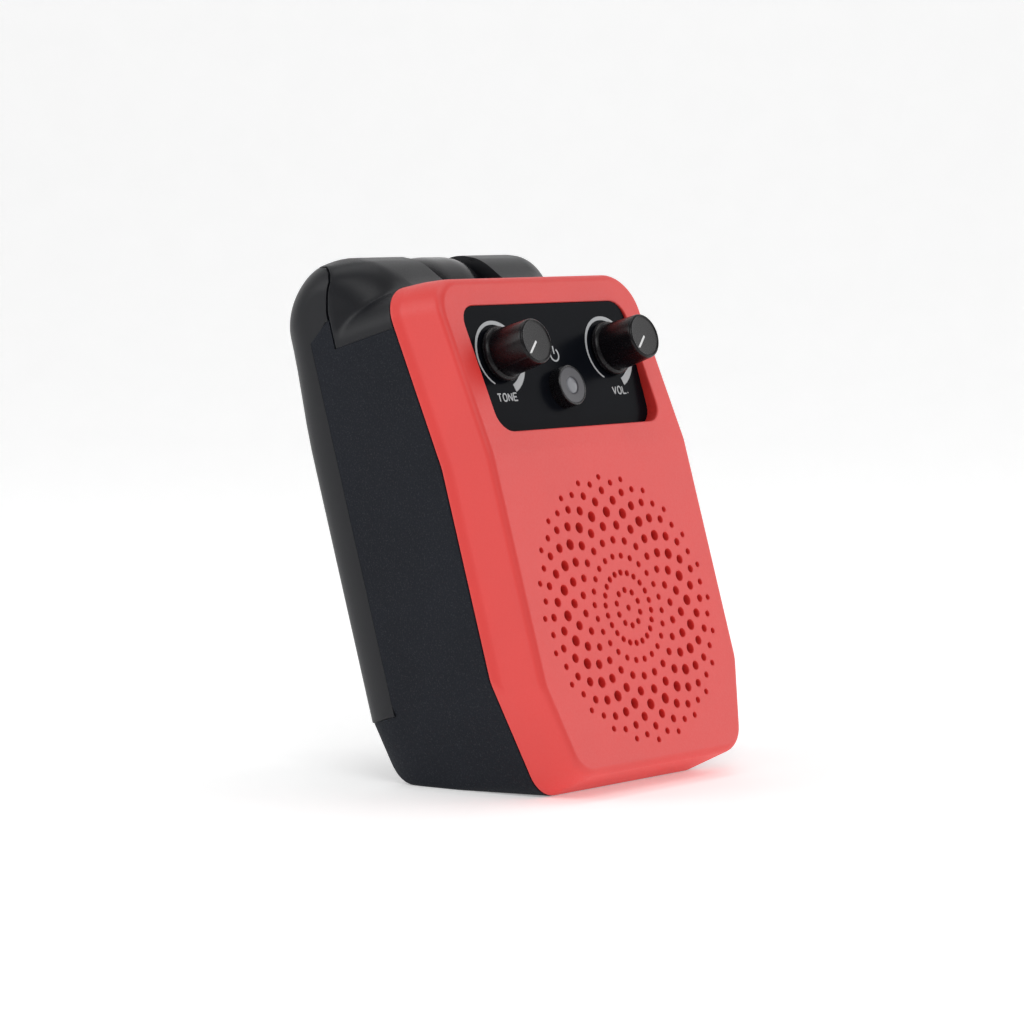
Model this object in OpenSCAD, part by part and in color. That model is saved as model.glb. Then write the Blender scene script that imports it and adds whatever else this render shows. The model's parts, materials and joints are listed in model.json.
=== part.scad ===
// Battery practice amplifier for electric guitar: a slab that leans back on a flat base,
// with a perforated front cover, two knobs and a power button, and a sprung belt clip.
// Most sub-parts are drawn in the slab's own frame, where x is across the width, y is the
// depth behind the grille face and z is the height along that face from the grille centre.

/* [Body] */
// Angle that the grille face leans back from vertical
lean = 16.5; // [12:0.5:20]
// Width of the body at the joint between the cover and the housing
body_w = 97.6; // [94:0.2:104]
// Width of the front face
face_w = 94.4; // [90:0.2:96]
// Height of the grille centre above the surface that the base rests on
grille_h = 51.8; // [50:0.1:56]
// Depth from the grille face to the joint between the cover and the housing
cover_d = 17.4; // [15:0.1:20]
// Depth from the grille face to the flat back
back_d = 66.6; // [64:0.1:72]
// Thickness of the moulded walls
wall = 2.5; // [2:0.1:3]
// Height above the grille centre where the front face bends back
bend_u = 48.6; // [46:0.1:52]
// Extra lean of the upper face above the bend
upper_lean = 7.4; // [5:0.1:9]
// Height above the grille centre of the top of the cover
top_u = 102.4; // [100:0.1:106]
// Height above the grille centre where the sides start to draw in towards the base
taper_u = -13.6; // [-20:0.2:-8]
// Amount that each side draws in for each millimetre below that height
taper = 0.29; // [0.2:0.01:0.34]

/* [Grille] */
// Radius that sets the size of the hole pattern
grille_r = 40.7; // [36:0.1:42]
// Diameter of the largest grille holes
hole_d = 3.1; // [2.4:0.05:3.4]

/* [Controls] */
// Lean of the control plate from vertical
plate_lean = 18.1; // [17:0.1:20]
// Width of the window in the cover
window_w = 77; // [74:0.5:80]
// Height of the window in the cover
window_h = 38.8; // [36:0.2:41]
// Distance from the centre line to each knob's axis
knob_x = 25.9; // [24:0.1:27]
// Distance from the window's top edge down to the knobs' axes
knob_drop = 15.2; // [13:0.1:16]
// Distance from the window's top edge down to the power button
button_drop = 26.2; // [25:0.1:28]
// Diameter of each knob's cap
knob_d = 13.6; // [12:0.1:14]
// Height of each knob's cap above the plate
knob_h = 14.9; // [13:0.1:17]
// Diameter of the power button
button_d = 12.2; // [11:0.1:13]
// Height of the power button above the plate
button_h = 3.9; // [2:0.1:4]
// Travel of the power button
button_travel = 1.2; // [0.6:0.1:1.4]

/* [Clip] */
// Depth of the hinge pin behind the grille face
pin_d = 47.6; // [46:0.1:49]
// Height of the hinge pin above the grille centre
pin_u = 100; // [98:0.1:102]
// Radius of the rounded top of the body about the hinge pin
hump_r = 19; // [18:0.1:20]
// Width of the channel that the clip's neck runs in
channel_w = 28.4; // [26:0.1:30]
// Gap for a belt or strap between the back and the clip
belt_gap = 6.5; // [6:0.1:8]
// Length of the clip's blade below the hinge pin
blade_len = 82; // [60:1:90]
// Width of the clip's blade
blade_w = 38; // [30:1:44]

/* [Hidden] */

$fn = 48;

// Half widths at the joint and at the front face
half_w = body_w / 2;
half_face = face_w / 2;
// Height of the lower edge of the front face
foot_u = -46;
// Corner radii of the outline
top_corner = 11;
base_corner = 9;
// Radius of the corner between the base and the back
heel_r = 8;
// Height of the joint between the housing and the top bridge
bridge_u = 92;
// Height of the housing's shoulder beneath the barrel
seam_u = 101;
// Depth of the joint between the top bridge and the rear cover
split_d = 46.5;
// Depth of the joint between the housing and the rear cover
band_d = 55;
// Height of the lower edge of the rear cover
rear_u = -16;
// Distance that the rear cover stands proud of the housing's lower back
proud = 0.75;
// Reach of the rounding along the back edges, across the width and along the depth
edge_x = 4;
edge_d = 11.6;
// Depth of the back of the housing below the rear cover
low_d = back_d - proud;
// Clearance between fixed pieces that fit inside each other
fit = 0.15;
// Running clearance on radius between a shaft and its bore
run = 0.05;
// Slope of the upper face and of the joint behind it
slope = tan(upper_lean);
// Distance along the upper face from the bend to the window's top edge
window_v = 45.4;
// Depth of the control plate below the face at the window's top edge
plate_recess = 0.3;
// Tilt of the control plate in the slab's frame
plate_tilt = plate_lean - lean;
// Corner radius of the window
window_r = 6;
// Thickness of the control plate
plate_t = 1.6;
// Thickness and height of the ledge that the plate rests on
ledge = 1.6;
// Potentiometer: bush, shaft, body and rotor
bush_r = 3.5;
bush_len = 4.6;
shaft_r = 3;
pot_w = 16;
pot_t = 8;
rotor_r = 6;
// Turn of the knobs' pointers from straight down at their lowest setting
rest_turn = 48;
// Depth of the control board behind the plate's front
board_y = plate_t + pot_t;
board_t = 1.6;
// Speaker: depth of its flange, outer radius, cone radius
gasket_t = 1;
flange_d = wall + gasket_t;
speaker_r = 40;
cone_r = 31;
coil_r = 10;
magnet_r = 22.5;
magnet_t = 9;
basket_d = 17;
// Places of the speaker's screws, on a circle at 45 degrees
ear_r = 44;
// Places of the posts that join the cover to the housing
front_posts = [[42.2, 44], [-42.2, 44], [31, -39], [-31, -39]];
// Places of the screws that hold the rear cover
rear_posts = [[40, 78], [-40, 78], [40, -4], [-40, -4]];
post_r = 3.2;
screw_r = 1.25;
// Sockets in the right side, on one line up the housing
socket_d = 38;
input_u = 48;
phones_u = 28;
usb_u = 12;
jack_bore = 3.2;
jack_bush_r = 4.5;
nut_r = 6.4;
nut_t = 1.8;
phones_bore = 1.75;
// Board that carries the sockets
main_d = 46;
main_t = 1.6;
// Battery cell
cell_r = 9.2;
cell_len = 65;
cell_d = 39.5;
cell_u = 70;
// Belt clip and its hinge
neck_r = hump_r - 1.5;
neck_w = channel_w - 0.8;
pin_r = 1.5;
blade_t = 2.4;
blade_d = back_d + belt_gap;
// Height of the highest point of the blade's back
blade_top = pin_u - 6;
// Clearance of the channel around the clip's neck
channel_fit = 0.6;
// Length of the crest's rounding at each end
crest_r = 8;
clip_wall = 2.4;
web_t = 2.5;
spring_r = 4;
wire_r = 0.45;

// Distance from the grille centre back to the middle of the object's depth
centre_y = (foot_u * sin(lean) + blade_top * sin(lean) + (blade_d + blade_t) * cos(lean)) / 2;

// Height of the base plane at a given depth, in the slab's frame
function base_u(d) = (-grille_h + d * sin(lean)) / cos(lean);

// Depth of the joint between cover and housing at a given height
function joint_d(u) = cover_d + max(0, u - bend_u) * slope;

function unit(v) = v / norm(v);

// Points of an arc of radius r that rounds the corner p between its neighbours a and b
function corner_arc(a, p, b, r, steps) =
    r == 0 ? [p] :
    let (
        to_a = unit(a - p),
        to_b = unit(b - p),
        half = acos(to_a * to_b) / 2,
        centre = p + unit(to_a + to_b) * r / sin(half),
        start = p + to_a * r / tan(half) - centre,
        end = p + to_b * r / tan(half) - centre,
        from = atan2(start.y, start.x),
        turn = atan2(end.y, end.x) - from,
        sweep = turn > 180 ? turn - 360 : turn < -180 ? turn + 360 : turn
    )
    [for (i = [0:steps]) centre + r * [cos(from + sweep * i / steps), sin(from + sweep * i / steps)]];

// A closed outline with each corner rounded to its own radius
function rounded(points, radii, steps = 6) =
    let (n = len(points))
    [for (i = [0:n - 1])
        each corner_arc(points[(i + n - 1) % n], points[i], points[(i + 1) % n], radii[i], steps)];

// Half width of the outline at a height below the start of the taper
function tapered(u, inset) = half_w - taper * (taper_u - u) - inset * norm([1, taper]);

// Outline seen from the front, from the height low to the height high, drawn in by inset
function outline(inset, low, high, corner) =
    let (
        side = half_w - inset,
        knee = taper_u + inset * (norm([1, taper]) - 1) / taper,
        foot = tapered(low, inset),
        r_low = max(1, base_corner - inset),
        r_high = max(0.5, corner - inset)
    )
    rounded(
        [[-side, high], [-side, knee], [-foot, low], [foot, low], [side, knee], [side, high]],
        [r_high, 12, r_low, r_low, 12, r_high]);

// Side view of the front cover, drawn in by inset; the inner one runs past the joint
function cover_profile(inset) =
    let (
        past = inset > 0 ? 8 : 0,
        back = cover_d + past,
        high = top_u - inset,
        face_top = (high - bend_u) * slope + inset / cos(upper_lean)
    )
    [[inset, foot_u + inset],
     [inset, bend_u],
     [face_top, high],
     [joint_d(high) + past, high + (inset > 0 ? 0 : 0.2)],
     [back, bend_u],
     [back, base_u(cover_d) + inset]];

// Plan of the cover, wider at the joint than at the face
function cover_plan(inset) =
    [[-half_face + inset, 0], [-half_w + inset, cover_d], [-half_w + inset, 60],
     [half_w - inset, 60], [half_w - inset, cover_d], [half_face - inset, 0]];

// Quarter ellipse that rounds the back edges, in plan
function back_plan(inset) =
    let (steps = 8)
    [each [for (i = [0:steps])
        [half_w - edge_x + (edge_x - inset) * cos(90 * i / steps),
         back_d - edge_d + (edge_d - inset) * sin(90 * i / steps)]],
     each [for (i = [steps:-1:0])
        [-half_w + edge_x - (edge_x - inset) * cos(90 * i / steps),
         back_d - edge_d + (edge_d - inset) * sin(90 * i / steps)]],
     [-half_w + inset, -1], [half_w - inset, -1]];

// Places a piece that is drawn in the slab's frame
module slab() {
    translate([0, -centre_y, grille_h]) rotate([-lean, 0, 0]) children();
}

// Frame of the control plate within the slab: x across, y into the body, z up from the
// window's top edge
module in_plate() {
    translate([0, window_v * sin(upper_lean) + plate_recess, bend_u + window_v * cos(upper_lean)])
        rotate([-plate_tilt, 0, 0])
            children();
}

// Places a piece that is drawn in the control plate's frame
module plate() {
    slab() in_plate() children();
}

// A (depth, height) profile extruded across the width
module across(w) {
    rotate([90, 0, 90]) linear_extrude(height = w, center = true) children();
}

// An (x, height) outline extruded from one depth to another
module inward(d0, d1) {
    translate([0, d1, 0]) rotate([90, 0, 0]) linear_extrude(height = d1 - d0) children();
}

// An (x, depth) plan extruded from one height to another
module upward(u0, u1) {
    translate([0, 0, u0]) linear_extrude(height = u1 - u0) children();
}

// A cylinder along the depth, from d0 to d1
module rod_in(r, d0, d1) {
    translate([0, d1, 0]) rotate([90, 0, 0]) cylinder(r = r, h = d1 - d0);
}

// A cylinder across the width, from x0 to x1
module rod_across(r, x0, x1) {
    translate([x0, 0, 0]) rotate([0, 90, 0]) cylinder(r = r, h = x1 - x0);
}

// ---------------------------------------------------------------- front cover

// Diameter of the holes in a ring, counted from the centre
function ring_hole(k) = hole_d * [0.56, 0.56, 0.56, 0.56, 0.7, 0.85, 1, 0.84, 0.71, 0.57, 0.52][k];

module grille_holes() {
    counts = [1, 10, 22, 24, 24, 24, 24, 24, 24, 24, 24];
    for (k = [0:10]) {
        half_step = 180 / counts[k];
        turn = (k % 2 == 1 || k == 2) ? half_step : 0;
        for (i = [0:counts[k] - 1]) {
            rotate([0, turn + i * 2 * half_step, 0])
                translate([grille_r * sin(7.5 * k), 0, 0])
                    rod_in(ring_hole(k) / 2, -1, wall + 1);
        }
    }
}

module window_outline(grow) {
    w = window_w / 2 + grow;
    polygon(rounded(
        [[-w, grow], [-w, -window_h - grow], [w, -window_h - grow], [w, grow]],
        [window_r + grow, window_r + grow, window_r + grow, window_r + grow]));
}

// Prism along the sloping bottom wall, whose lower corners round those of the face
module foot_prism(inset) {
    drop = atan((foot_u - base_u(cover_d)) / cover_d);
    foot = tapered(foot_u, inset);
    wide = foot + 40 * taper;
    translate([0, 0, foot_u]) rotate([-drop, 0, 0]) inward(-50, 60) polygon(rounded(
        [[-wide, 40], [-foot, inset], [foot, inset], [wide, 40], [body_w, 180], [-body_w, 180]],
        [0, base_corner - inset, base_corner - inset, 0, 0, 0]));
}

module cover_outer() {
    intersection() {
        across(body_w + 2) polygon(cover_profile(0));
        foot_prism(0);
        inward(-2, 40) polygon(outline(0, base_u(cover_d) - 0.01, top_u + 0.2, top_corner));
        upward(-70, 120) polygon(cover_plan(0));
    }
}

module cover_inner() {
    intersection() {
        across(body_w + 2) polygon(cover_profile(wall));
        foot_prism(wall);
        inward(-2, 60) polygon(outline(wall, base_u(cover_d), top_u + 0.2, top_corner));
        upward(-70, 120) polygon(cover_plan(wall));
    }
}

module front_cover() {
    color("crimson") slab() {
        difference() {
            union() {
                difference() {
                    cover_outer();
                    cover_inner();
                }
                intersection() {
                    cover_outer();
                    in_plate() inward(-8, plate_t + ledge) window_outline(1.8);
                }
                for (p = front_posts) {
                    intersection() {
                        cover_outer();
                        translate([p.x, 0, p.y]) rod_in(post_r, 0.5, joint_d(p.y) - 0.01);
                    }
                }
                for (a = [45:90:315]) {
                    rotate([0, a, 0]) translate([ear_r, 0, 0]) rod_in(post_r, 1, flange_d);
                }
            }
            in_plate() inward(-9, plate_t) window_outline(0);
            in_plate() inward(-9, plate_t + ledge + 1) window_outline(-ledge);
            grille_holes();
            for (p = front_posts) {
                translate([p.x, 0, p.y]) rod_in(screw_r, 6, 40);
            }
            for (a = [45:90:315]) {
                rotate([0, a, 0]) translate([ear_r, 0, 0]) rod_in(screw_r, 1.6, 10);
            }
        }
    }
}

module control_plate() {
    color("black") plate() {
        difference() {
            inward(0, plate_t) window_outline(-fit);
            for (s = [-1, 1]) {
                translate([s * knob_x, 0, -knob_drop]) rod_in(bush_r, -1, plate_t + 1);
            }
            translate([0, 0, -button_drop]) rod_in(button_d / 2 + run, -1, plate_t + 1);
        }
    }
}

// ---------------------------------------------------------------- housing

// Side view of the housing; the inner one is drawn in by a wall and open at the top
module housing_side(inset) {
    d1 = inset > 0 ? band_d + 1 : band_d;
    d0 = inset > 0 ? -10 : 0;
    low_back = low_d - inset;
    polygon(rounded(
        [[cover_d + d0, base_u(cover_d) + inset + d0 * tan(lean)],
         [low_back, base_u(low_back) + inset / cos(lean)],
         [low_back, rear_u - inset],
         [d1, rear_u - inset + 5],
         [d1, bridge_u + 4 - fit],
         [split_d + fit + 1, seam_u - fit],
         [split_d + fit, seam_u - fit],
         [split_d + fit, bridge_u],
         [joint_d(bridge_u) + d0, bridge_u],
         [cover_d + d0, bend_u]],
        [0, heel_r - inset, 1, 1, 2, 0, 0, 0, 0, 0]));
    if (inset > 0) {
        translate([cover_d - 4, bridge_u - 30]) square([band_d + 5 - cover_d, 60]);
    }
}

module housing_form(inset) {
    intersection() {
        across(body_w + 2) housing_side(inset);
        inward(-20, 90) polygon(outline(inset, base_u(cover_d) + inset, 130, 1));
        upward(-70, 140) polygon(back_plan(inset));
    }
}

// Lug on the inside of a side wall, with a hole for a screw
module lug(p, d0, d1) {
    side = p.x > 0 ? 1 : -1;
    difference() {
        union() {
            translate([p.x, 0, p.y]) rod_in(post_r, d0, d1);
            translate([p.x + side * 5, (d0 + d1) / 2, p.y])
                cube([10, d1 - d0, 2 * post_r - 1], center = true);
        }
        translate([p.x, 0, p.y]) rod_in(screw_r, d0 - 1, d1 + 1);
    }
}

module rear_housing() {
    color("darkslategray") slab() {
        difference() {
            union() {
                difference() {
                    housing_form(0);
                    housing_form(wall);
                }
                intersection() {
                    housing_form(0);
                    union() {
                        for (p = front_posts) {
                            lug(p, joint_d(p.y) + 0.01, joint_d(p.y) + 4);
                        }
                        for (p = rear_posts) {
                            lug(p, band_d - 10, band_d - 0.3);
                        }
                        for (s = [-1, 1]) {
                            for (u = [8, 48]) {
                                translate([s * 43, main_d + main_t + 1.5, u])
                                    cube([12, 3, 8], center = true);
                            }
                        }
                        translate([0, socket_d, input_u])
                            rod_across(nut_r + 2.5, half_w - wall - 2, half_w - 1);
                    }
                }
            }
            translate([0, socket_d, input_u]) rod_across(jack_bush_r + fit, 30, 60);
            translate([0, socket_d, input_u]) rod_across(nut_r + 1, half_w - nut_t - 0.2, 60);
            translate([0, socket_d, phones_u]) rod_across(3 + fit, 30, 60);
            translate([half_w, socket_d, usb_u]) cube([10, 9.4, 3.6], center = true);
        }
    }
}

// ---------------------------------------------------------------- top bridge

// Barrel about the hinge pin, with elliptical ends that match the back edges
module barrel(inset) {
    steps = 8;
    r0 = hump_r - edge_d;
    x0 = half_w - edge_x;
    end = [for (i = [0:steps])
        [r0 + (edge_d - inset) * sin(90 * i / steps), x0 + (edge_x - inset) * cos(90 * i / steps)]];
    translate([0, pin_d, pin_u]) rotate([0, 90, 0]) rotate_extrude($fn = 96) polygon([
        [0, half_w - inset], each end,
        each [for (i = [steps:-1:0]) [end[i].x, -end[i].y]], [0, inset - half_w]]);
}

module hump_side(r) {
    translate([pin_d, pin_u]) circle(r = r, $fn = 96);
}

// Side view of the part of the bridge in front of the barrel
module bridge_side(inset) {
    low = inset > 0 ? bridge_u - 5 : bridge_u;
    top = top_u + 0.2 - inset;
    front = inset > 0 ? 15 : joint_d(bridge_u);
    front_high = inset > 0 ? 15 : joint_d(top_u + 0.2);
    polygon([[front, low], [split_d, low], [split_d, top], [front_high, top]]);
}

// Side view of the hollow sweep from the flat top up to the barrel
module sweep_side(inset) {
    sweep = 8 + inset;
    top = top_u + 0.2 - inset;
    foot = pin_d - sqrt(pow(hump_r - inset + sweep, 2) - pow(top + sweep - pin_u, 2));
    difference() {
        polygon([[foot, top - 0.5], [pin_d - 8, top - 0.5], [pin_d - 8, pin_u + hump_r - inset - 5]]);
        translate([foot, top + sweep]) circle(r = sweep, $fn = 64);
    }
}

module bridge_form(inset) {
    low = inset > 0 ? 70 : bridge_u;
    front = inset > 0 ? -10 : 0;
    intersection() {
        union() {
            intersection() {
                across(body_w + 2) bridge_side(inset);
                inward(-20, 90) polygon(outline(inset, -60, top_u + 0.2, top_corner));
            }
            across(2 * (half_w - top_corner)) sweep_side(inset);
            barrel(inset);
        }
        across(body_w + 2) polygon([[joint_d(low) + front, low], [split_d, low], [split_d, 140],
            [joint_d(140) + front, 140]]);
        inward(-20, 90) polygon(outline(inset, -60, pin_u + hump_r, crest_r));
    }
}

// Cheek that carries the hinge pin at one side of the channel
module cheek(side) {
    translate([side * (channel_w + web_t) / 2, 0, 0]) across(web_t) {
        intersection() {
            union() {
                bridge_side(0);
                sweep_side(0);
                hump_side(hump_r);
            }
            polygon([[26, bridge_u], [split_d, bridge_u], [split_d, 130], [26, 130]]);
        }
        hump_side(hump_r - wall - 0.3);
    }
}

module top_bridge() {
    color("dimgray") slab() {
        difference() {
            union() {
                difference() {
                    bridge_form(0);
                    bridge_form(wall);
                    translate([0, pin_d, pin_u])
                        rod_across(neck_r + channel_fit, -channel_w / 2, channel_w / 2);
                    across(channel_w) translate([20, top_u + 0.25]) square([40, 30]);
                }
                cheek(1);
                cheek(-1);
            }
            translate([0, pin_d, pin_u]) rod_across(pin_r, -60, 60);
        }
    }
}

// ---------------------------------------------------------------- rear cover

// Side view of the rear cover below the barrel
module rear_side(inset) {
    edge = inset > 0 ? -12 : 0;
    polygon(rounded(
        [[band_d + edge, rear_u + 5.1 + inset],
         [back_d - inset, rear_u + 0.1 + inset],
         [back_d - inset, seam_u],
         [split_d + edge, seam_u],
         [band_d + edge, bridge_u + 4]],
        [0, 1, 0, 0, 2]));
}

module rear_form(inset) {
    edge = inset > 0 ? 12 : 0;
    intersection() {
        union() {
            intersection() {
                across(body_w + 2) rear_side(inset);
                upward(-70, seam_u) polygon(back_plan(inset));
            }
            intersection() {
                barrel(inset);
                upward(seam_u - 0.01, 140) translate([-60, split_d - edge]) square([120, 60]);
            }
        }
        inward(-20, 90) polygon(outline(inset, -60, pin_u + hump_r, crest_r));
    }
}

module rear_cover() {
    slot_low = pin_u - 7;
    color("black") slab() {
        difference() {
            union() {
                difference() {
                    rear_form(0);
                    rear_form(wall);
                }
                intersection() {
                    rear_form(0);
                    for (p = rear_posts) {
                        translate([p.x, 0, p.y]) rod_in(post_r + 0.6, band_d - 0.29, back_d);
                    }
                }
            }
            translate([-channel_w / 2, pin_d - 3, slot_low]) cube([channel_w, 40, 60]);
            translate([0, pin_d, pin_u])
                rod_across(hump_r - wall - 0.1, -channel_w / 2 - web_t - fit, channel_w / 2 + web_t + fit);
            for (p = rear_posts) {
                translate([p.x, 0, p.y]) rod_in(screw_r + 0.3, 40, 80);
                translate([p.x, 0, p.y]) rod_in(2.9, back_d - 6, 80);
            }
        }
    }
}

// ---------------------------------------------------------------- knobs

// Frame of a knob: z along its axis out of the plate, -y towards its pointer
module knob_frame(x) {
    plate() translate([x, 0, -knob_drop]) rotate([0, rest_turn, 0]) rotate([90, 0, 0]) children();
}

module knob(x) {
    color("black") knob_frame(x) difference() {
        rotate_extrude($fn = 96) polygon([
            [0, 0.8], [8.2, 0.8], [8.2, 2.1], [7.7, 2.7], [7.3, 3.1],
            [knob_d / 2, knob_h - 0.7], [knob_d / 2 - 0.7, knob_h], [0, knob_h]]);
        cylinder(r = 6.6, h = 4.4);
        cylinder(r = shaft_r, h = knob_h - 3);
        translate([-0.45, -knob_d / 2 + 0.6, knob_h - 0.3]) cube([0.9, 4.6, 1]);
    }
}

module pointer(x) {
    color("white") knob_frame(x)
        translate([-0.45, -knob_d / 2 + 0.9, knob_h - 0.3]) cube([0.9, 4.3, 0.35]);
}

// Shaft with the rotor disc that it turns inside the potentiometer
module shaft(x) {
    color("silver") knob_frame(x) {
        translate([0, 0, -plate_t - 4]) cylinder(r = shaft_r, h = knob_h + plate_t + 1);
        translate([0, 0, -plate_t - 5]) cylinder(r = rotor_r, h = 1);
    }
}

module pot(x) {
    color("silver") plate() translate([x, 0, -knob_drop]) difference() {
        union() {
            translate([-pot_w / 2, plate_t, -pot_w / 2]) cube([pot_w, pot_t, pot_w]);
            rod_in(bush_r, -bush_len + plate_t, plate_t + 1);
        }
        rod_in(shaft_r + run, -10, plate_t + 3);
        rod_in(rotor_r + 0.4, plate_t + 2.6, plate_t + 6);
    }
}

module pot_washers() {
    color("silver") for (s = [-1, 1]) {
        plate() translate([s * knob_x, 0, -knob_drop]) difference() {
            rod_in(6.2, -0.5, 0);
            rod_in(bush_r, -1, 1);
        }
    }
}

module pot_nuts() {
    color("silver") for (s = [-1, 1]) {
        plate() translate([s * knob_x, 0, -knob_drop]) difference() {
            translate([0, -0.5, 0]) rotate([90, 0, 0]) cylinder(r = 5.6, h = 2, $fn = 6);
            rod_in(bush_r, -4, 1);
        }
    }
}

// ---------------------------------------------------------------- power button

module at_button() {
    plate() translate([0, 0, -button_drop]) children();
}

// Button body with a flange behind the plate and a pocket in front for the cap
module power_button() {
    color("black") at_button() difference() {
        union() {
            rod_in(button_d / 2, -button_h, plate_t + 1.6);
            rod_in(button_d / 2 + 1.6, plate_t + 0.2, plate_t + 1.6);
        }
        rod_in(button_d / 2 - 0.6, -button_h - 1, -button_h + 0.5);
        rod_in(2.5, -button_h - 1, -button_h + 2);
    }
}

module button_cap() {
    color("dimgray") at_button() difference() {
        rod_in(button_d / 2 - 0.6, -button_h + 0.02, -button_h + 0.5);
        rod_in(2.5, -button_h - 1, -button_h + 1);
    }
}

module button_lens() {
    color("gainsboro") at_button() rod_in(2.5, -button_h + 0.05, -button_h + 2);
}

// Stem that the button pushes, sliding in the switch
module switch_plunger() {
    color("white") at_button() rod_in(1.6, plate_t + 1.6, plate_t + 5.2);
}

module power_switch() {
    color("silver") at_button() difference() {
        translate([-3.5, board_y - 5, -3.5]) cube([7, 5, 7]);
        rod_in(1.6 + run, board_y - 6, board_y - 1.2);
    }
}

// ---------------------------------------------------------------- boards

module control_board() {
    color("green") plate() translate([-38, board_y, -window_h + 2]) cube([76, board_t, 34]);
}

module main_board() {
    color("green") slab() translate([-40, main_d, 2]) cube([80, main_t, 56]);
}

// Amplifier chip, capacitors and coil on the main board
module board_parts() {
    color("dimgray") slab() {
        translate([-30, main_d + main_t, 38]) cube([10, 2.2, 12]);
        translate([-10, main_d + main_t, 42]) cube([8, 1.6, 8]);
        for (i = [0:2]) {
            translate([4 + 9 * i, 0, 46]) rod_in(3.1, main_d + main_t, main_d + main_t + 7);
        }
        translate([-32, 0, 18]) rod_in(5, main_d + main_t, main_d + main_t + 5);
        translate([6, main_d + main_t, 14]) cube([12, 5, 7]);
    }
}

// Flat cable between the two boards
module ribbon_cable() {
    top = 62.2;
    color("lightgray") slab() across(12) polygon([
        [16.5, top], [16.5, top - 0.6], [28.4, top - 6], [main_d - 0.4, 55], [main_d - 0.4, 50],
        [main_d, 50], [main_d, 55.6], [28.6, top - 5.2]]);
}

// ---------------------------------------------------------------- speaker

module ring_in(r0, r1, d0, d1) {
    difference() {
        rod_in(r1, d0, d1);
        rod_in(r0, d0 - 1, d1 + 1);
    }
}

// A shell turned about the speaker's axis from (radius, depth) points
module turned(points) {
    rotate([-90, 0, 0]) rotate_extrude($fn = 96) polygon(points);
}

module speaker_gasket() {
    color("dimgray") slab() ring_in(cone_r + 5.5, speaker_r - 0.5, wall, flange_d);
}

// Pressed steel basket with a flange, four ears, six windows and a back plate
module speaker_frame() {
    color("gray") slab() difference() {
        union() {
            ring_in(cone_r + 5, speaker_r, flange_d, flange_d + 1);
            for (a = [45:90:315]) {
                rotate([0, a, 0]) {
                    translate([ear_r, 0, 0]) rod_in(3.4, flange_d, flange_d + 1);
                    translate([speaker_r - 2, flange_d, -3.4]) cube([ear_r - speaker_r + 2, 1, 6.8]);
                }
            }
            turned([[cone_r + 5, flange_d + 0.5], [cone_r + 6, flange_d + 0.5], [25, basket_d + 3],
                    [12, basket_d + 3], [12, basket_d + 2], [24.4, basket_d + 2]]);
        }
        for (a = [0:60:300]) {
            rotate([0, a, 0]) translate([31, 12, 0]) cube([14, 8, 15], center = true);
        }
        for (a = [45:90:315]) {
            rotate([0, a, 0]) translate([ear_r, 0, 0]) rod_in(1.7, 0, 10);
        }
    }
}

module speaker_surround() {
    mid = cone_r + 2.2;
    edge = flange_d + 0.9;
    color("black") slab() turned([
        each [for (i = [0:8]) [mid - 2.4 * cos(22.5 * i), edge - 1.7 * sin(22.5 * i)]],
        each [for (i = [8:-1:0]) [mid - 1.9 * cos(22.5 * i), edge - 1.2 * sin(22.5 * i)]]]);
}

module speaker_cone() {
    color("black") slab() turned([
        [cone_r, flange_d + 0.9], [cone_r, flange_d + 1.5], [coil_r + 0.5, basket_d - 1.4],
        [coil_r + 0.5, basket_d - 2.1]]);
}

module speaker_dust_cap() {
    color("black") slab() turned([
        each [for (i = [0:6]) [(coil_r + 1.4) * sin(15 * i), basket_d - 3.4 - 4 * cos(15 * i)]],
        each [for (i = [6:-1:0]) [(coil_r + 0.8) * sin(15 * i), basket_d - 3.4 - 3.4 * cos(15 * i)]]]);
}

module speaker_voice_coil() {
    color("orange") slab() ring_in(coil_r - 0.3, coil_r + 0.2, basket_d - 2, basket_d + 6);
}

module speaker_spider() {
    color("gold") slab() turned([
        [coil_r + 0.2, basket_d - 0.6], [14, basket_d], [17, basket_d - 0.9], [20, basket_d],
        [23, basket_d - 0.4], [23, basket_d + 0.1], [20, basket_d + 0.5], [17, basket_d - 0.4],
        [14, basket_d + 0.5], [coil_r + 0.2, basket_d - 0.1]]);
}

module speaker_magnet() {
    color("dimgray") slab() ring_in(12, magnet_r, basket_d + 6, basket_d + 6 + magnet_t);
}

// Front plate, back plate and pole piece of the magnet
module speaker_plates() {
    back = basket_d + 6 + magnet_t;
    color("silver") slab() {
        ring_in(coil_r + 0.6, magnet_r - 1.5, basket_d + 3, basket_d + 6);
        rod_in(magnet_r - 1.5, back, back + 3);
        rod_in(coil_r - 0.7, basket_d + 2, back + 1);
    }
}

module speaker_terminals() {
    color("tan") slab() translate([-8, 0, 30.6]) {
        translate([0, 12.9, 0]) cube([16, 1.2, 9]);
        for (x = [2.5, 11.5]) {
            translate([x, 14.1, 1]) cube([2, 0.6, 7]);
        }
    }
}

module speaker_screws() {
    color("silver") slab() for (a = [45:90:315]) {
        rotate([0, a, 0]) translate([ear_r, 0, 0]) {
            rod_in(screw_r, 1.8, flange_d + 1);
            difference() {
                rod_in(2.6, flange_d + 1, flange_d + 2.6);
                translate([0, flange_d + 2.6, 0]) cube([3.4, 1.4, 0.7], center = true);
                translate([0, flange_d + 2.6, 0]) cube([0.7, 1.4, 3.4], center = true);
            }
        }
    }
}

module speaker_leads() {
    color("red") slab() for (x = [-4.5, 4.5]) {
        translate([x, 0, 33]) rod_in(0.6, 14.7, main_d);
    }
}

// ---------------------------------------------------------------- battery

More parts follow.
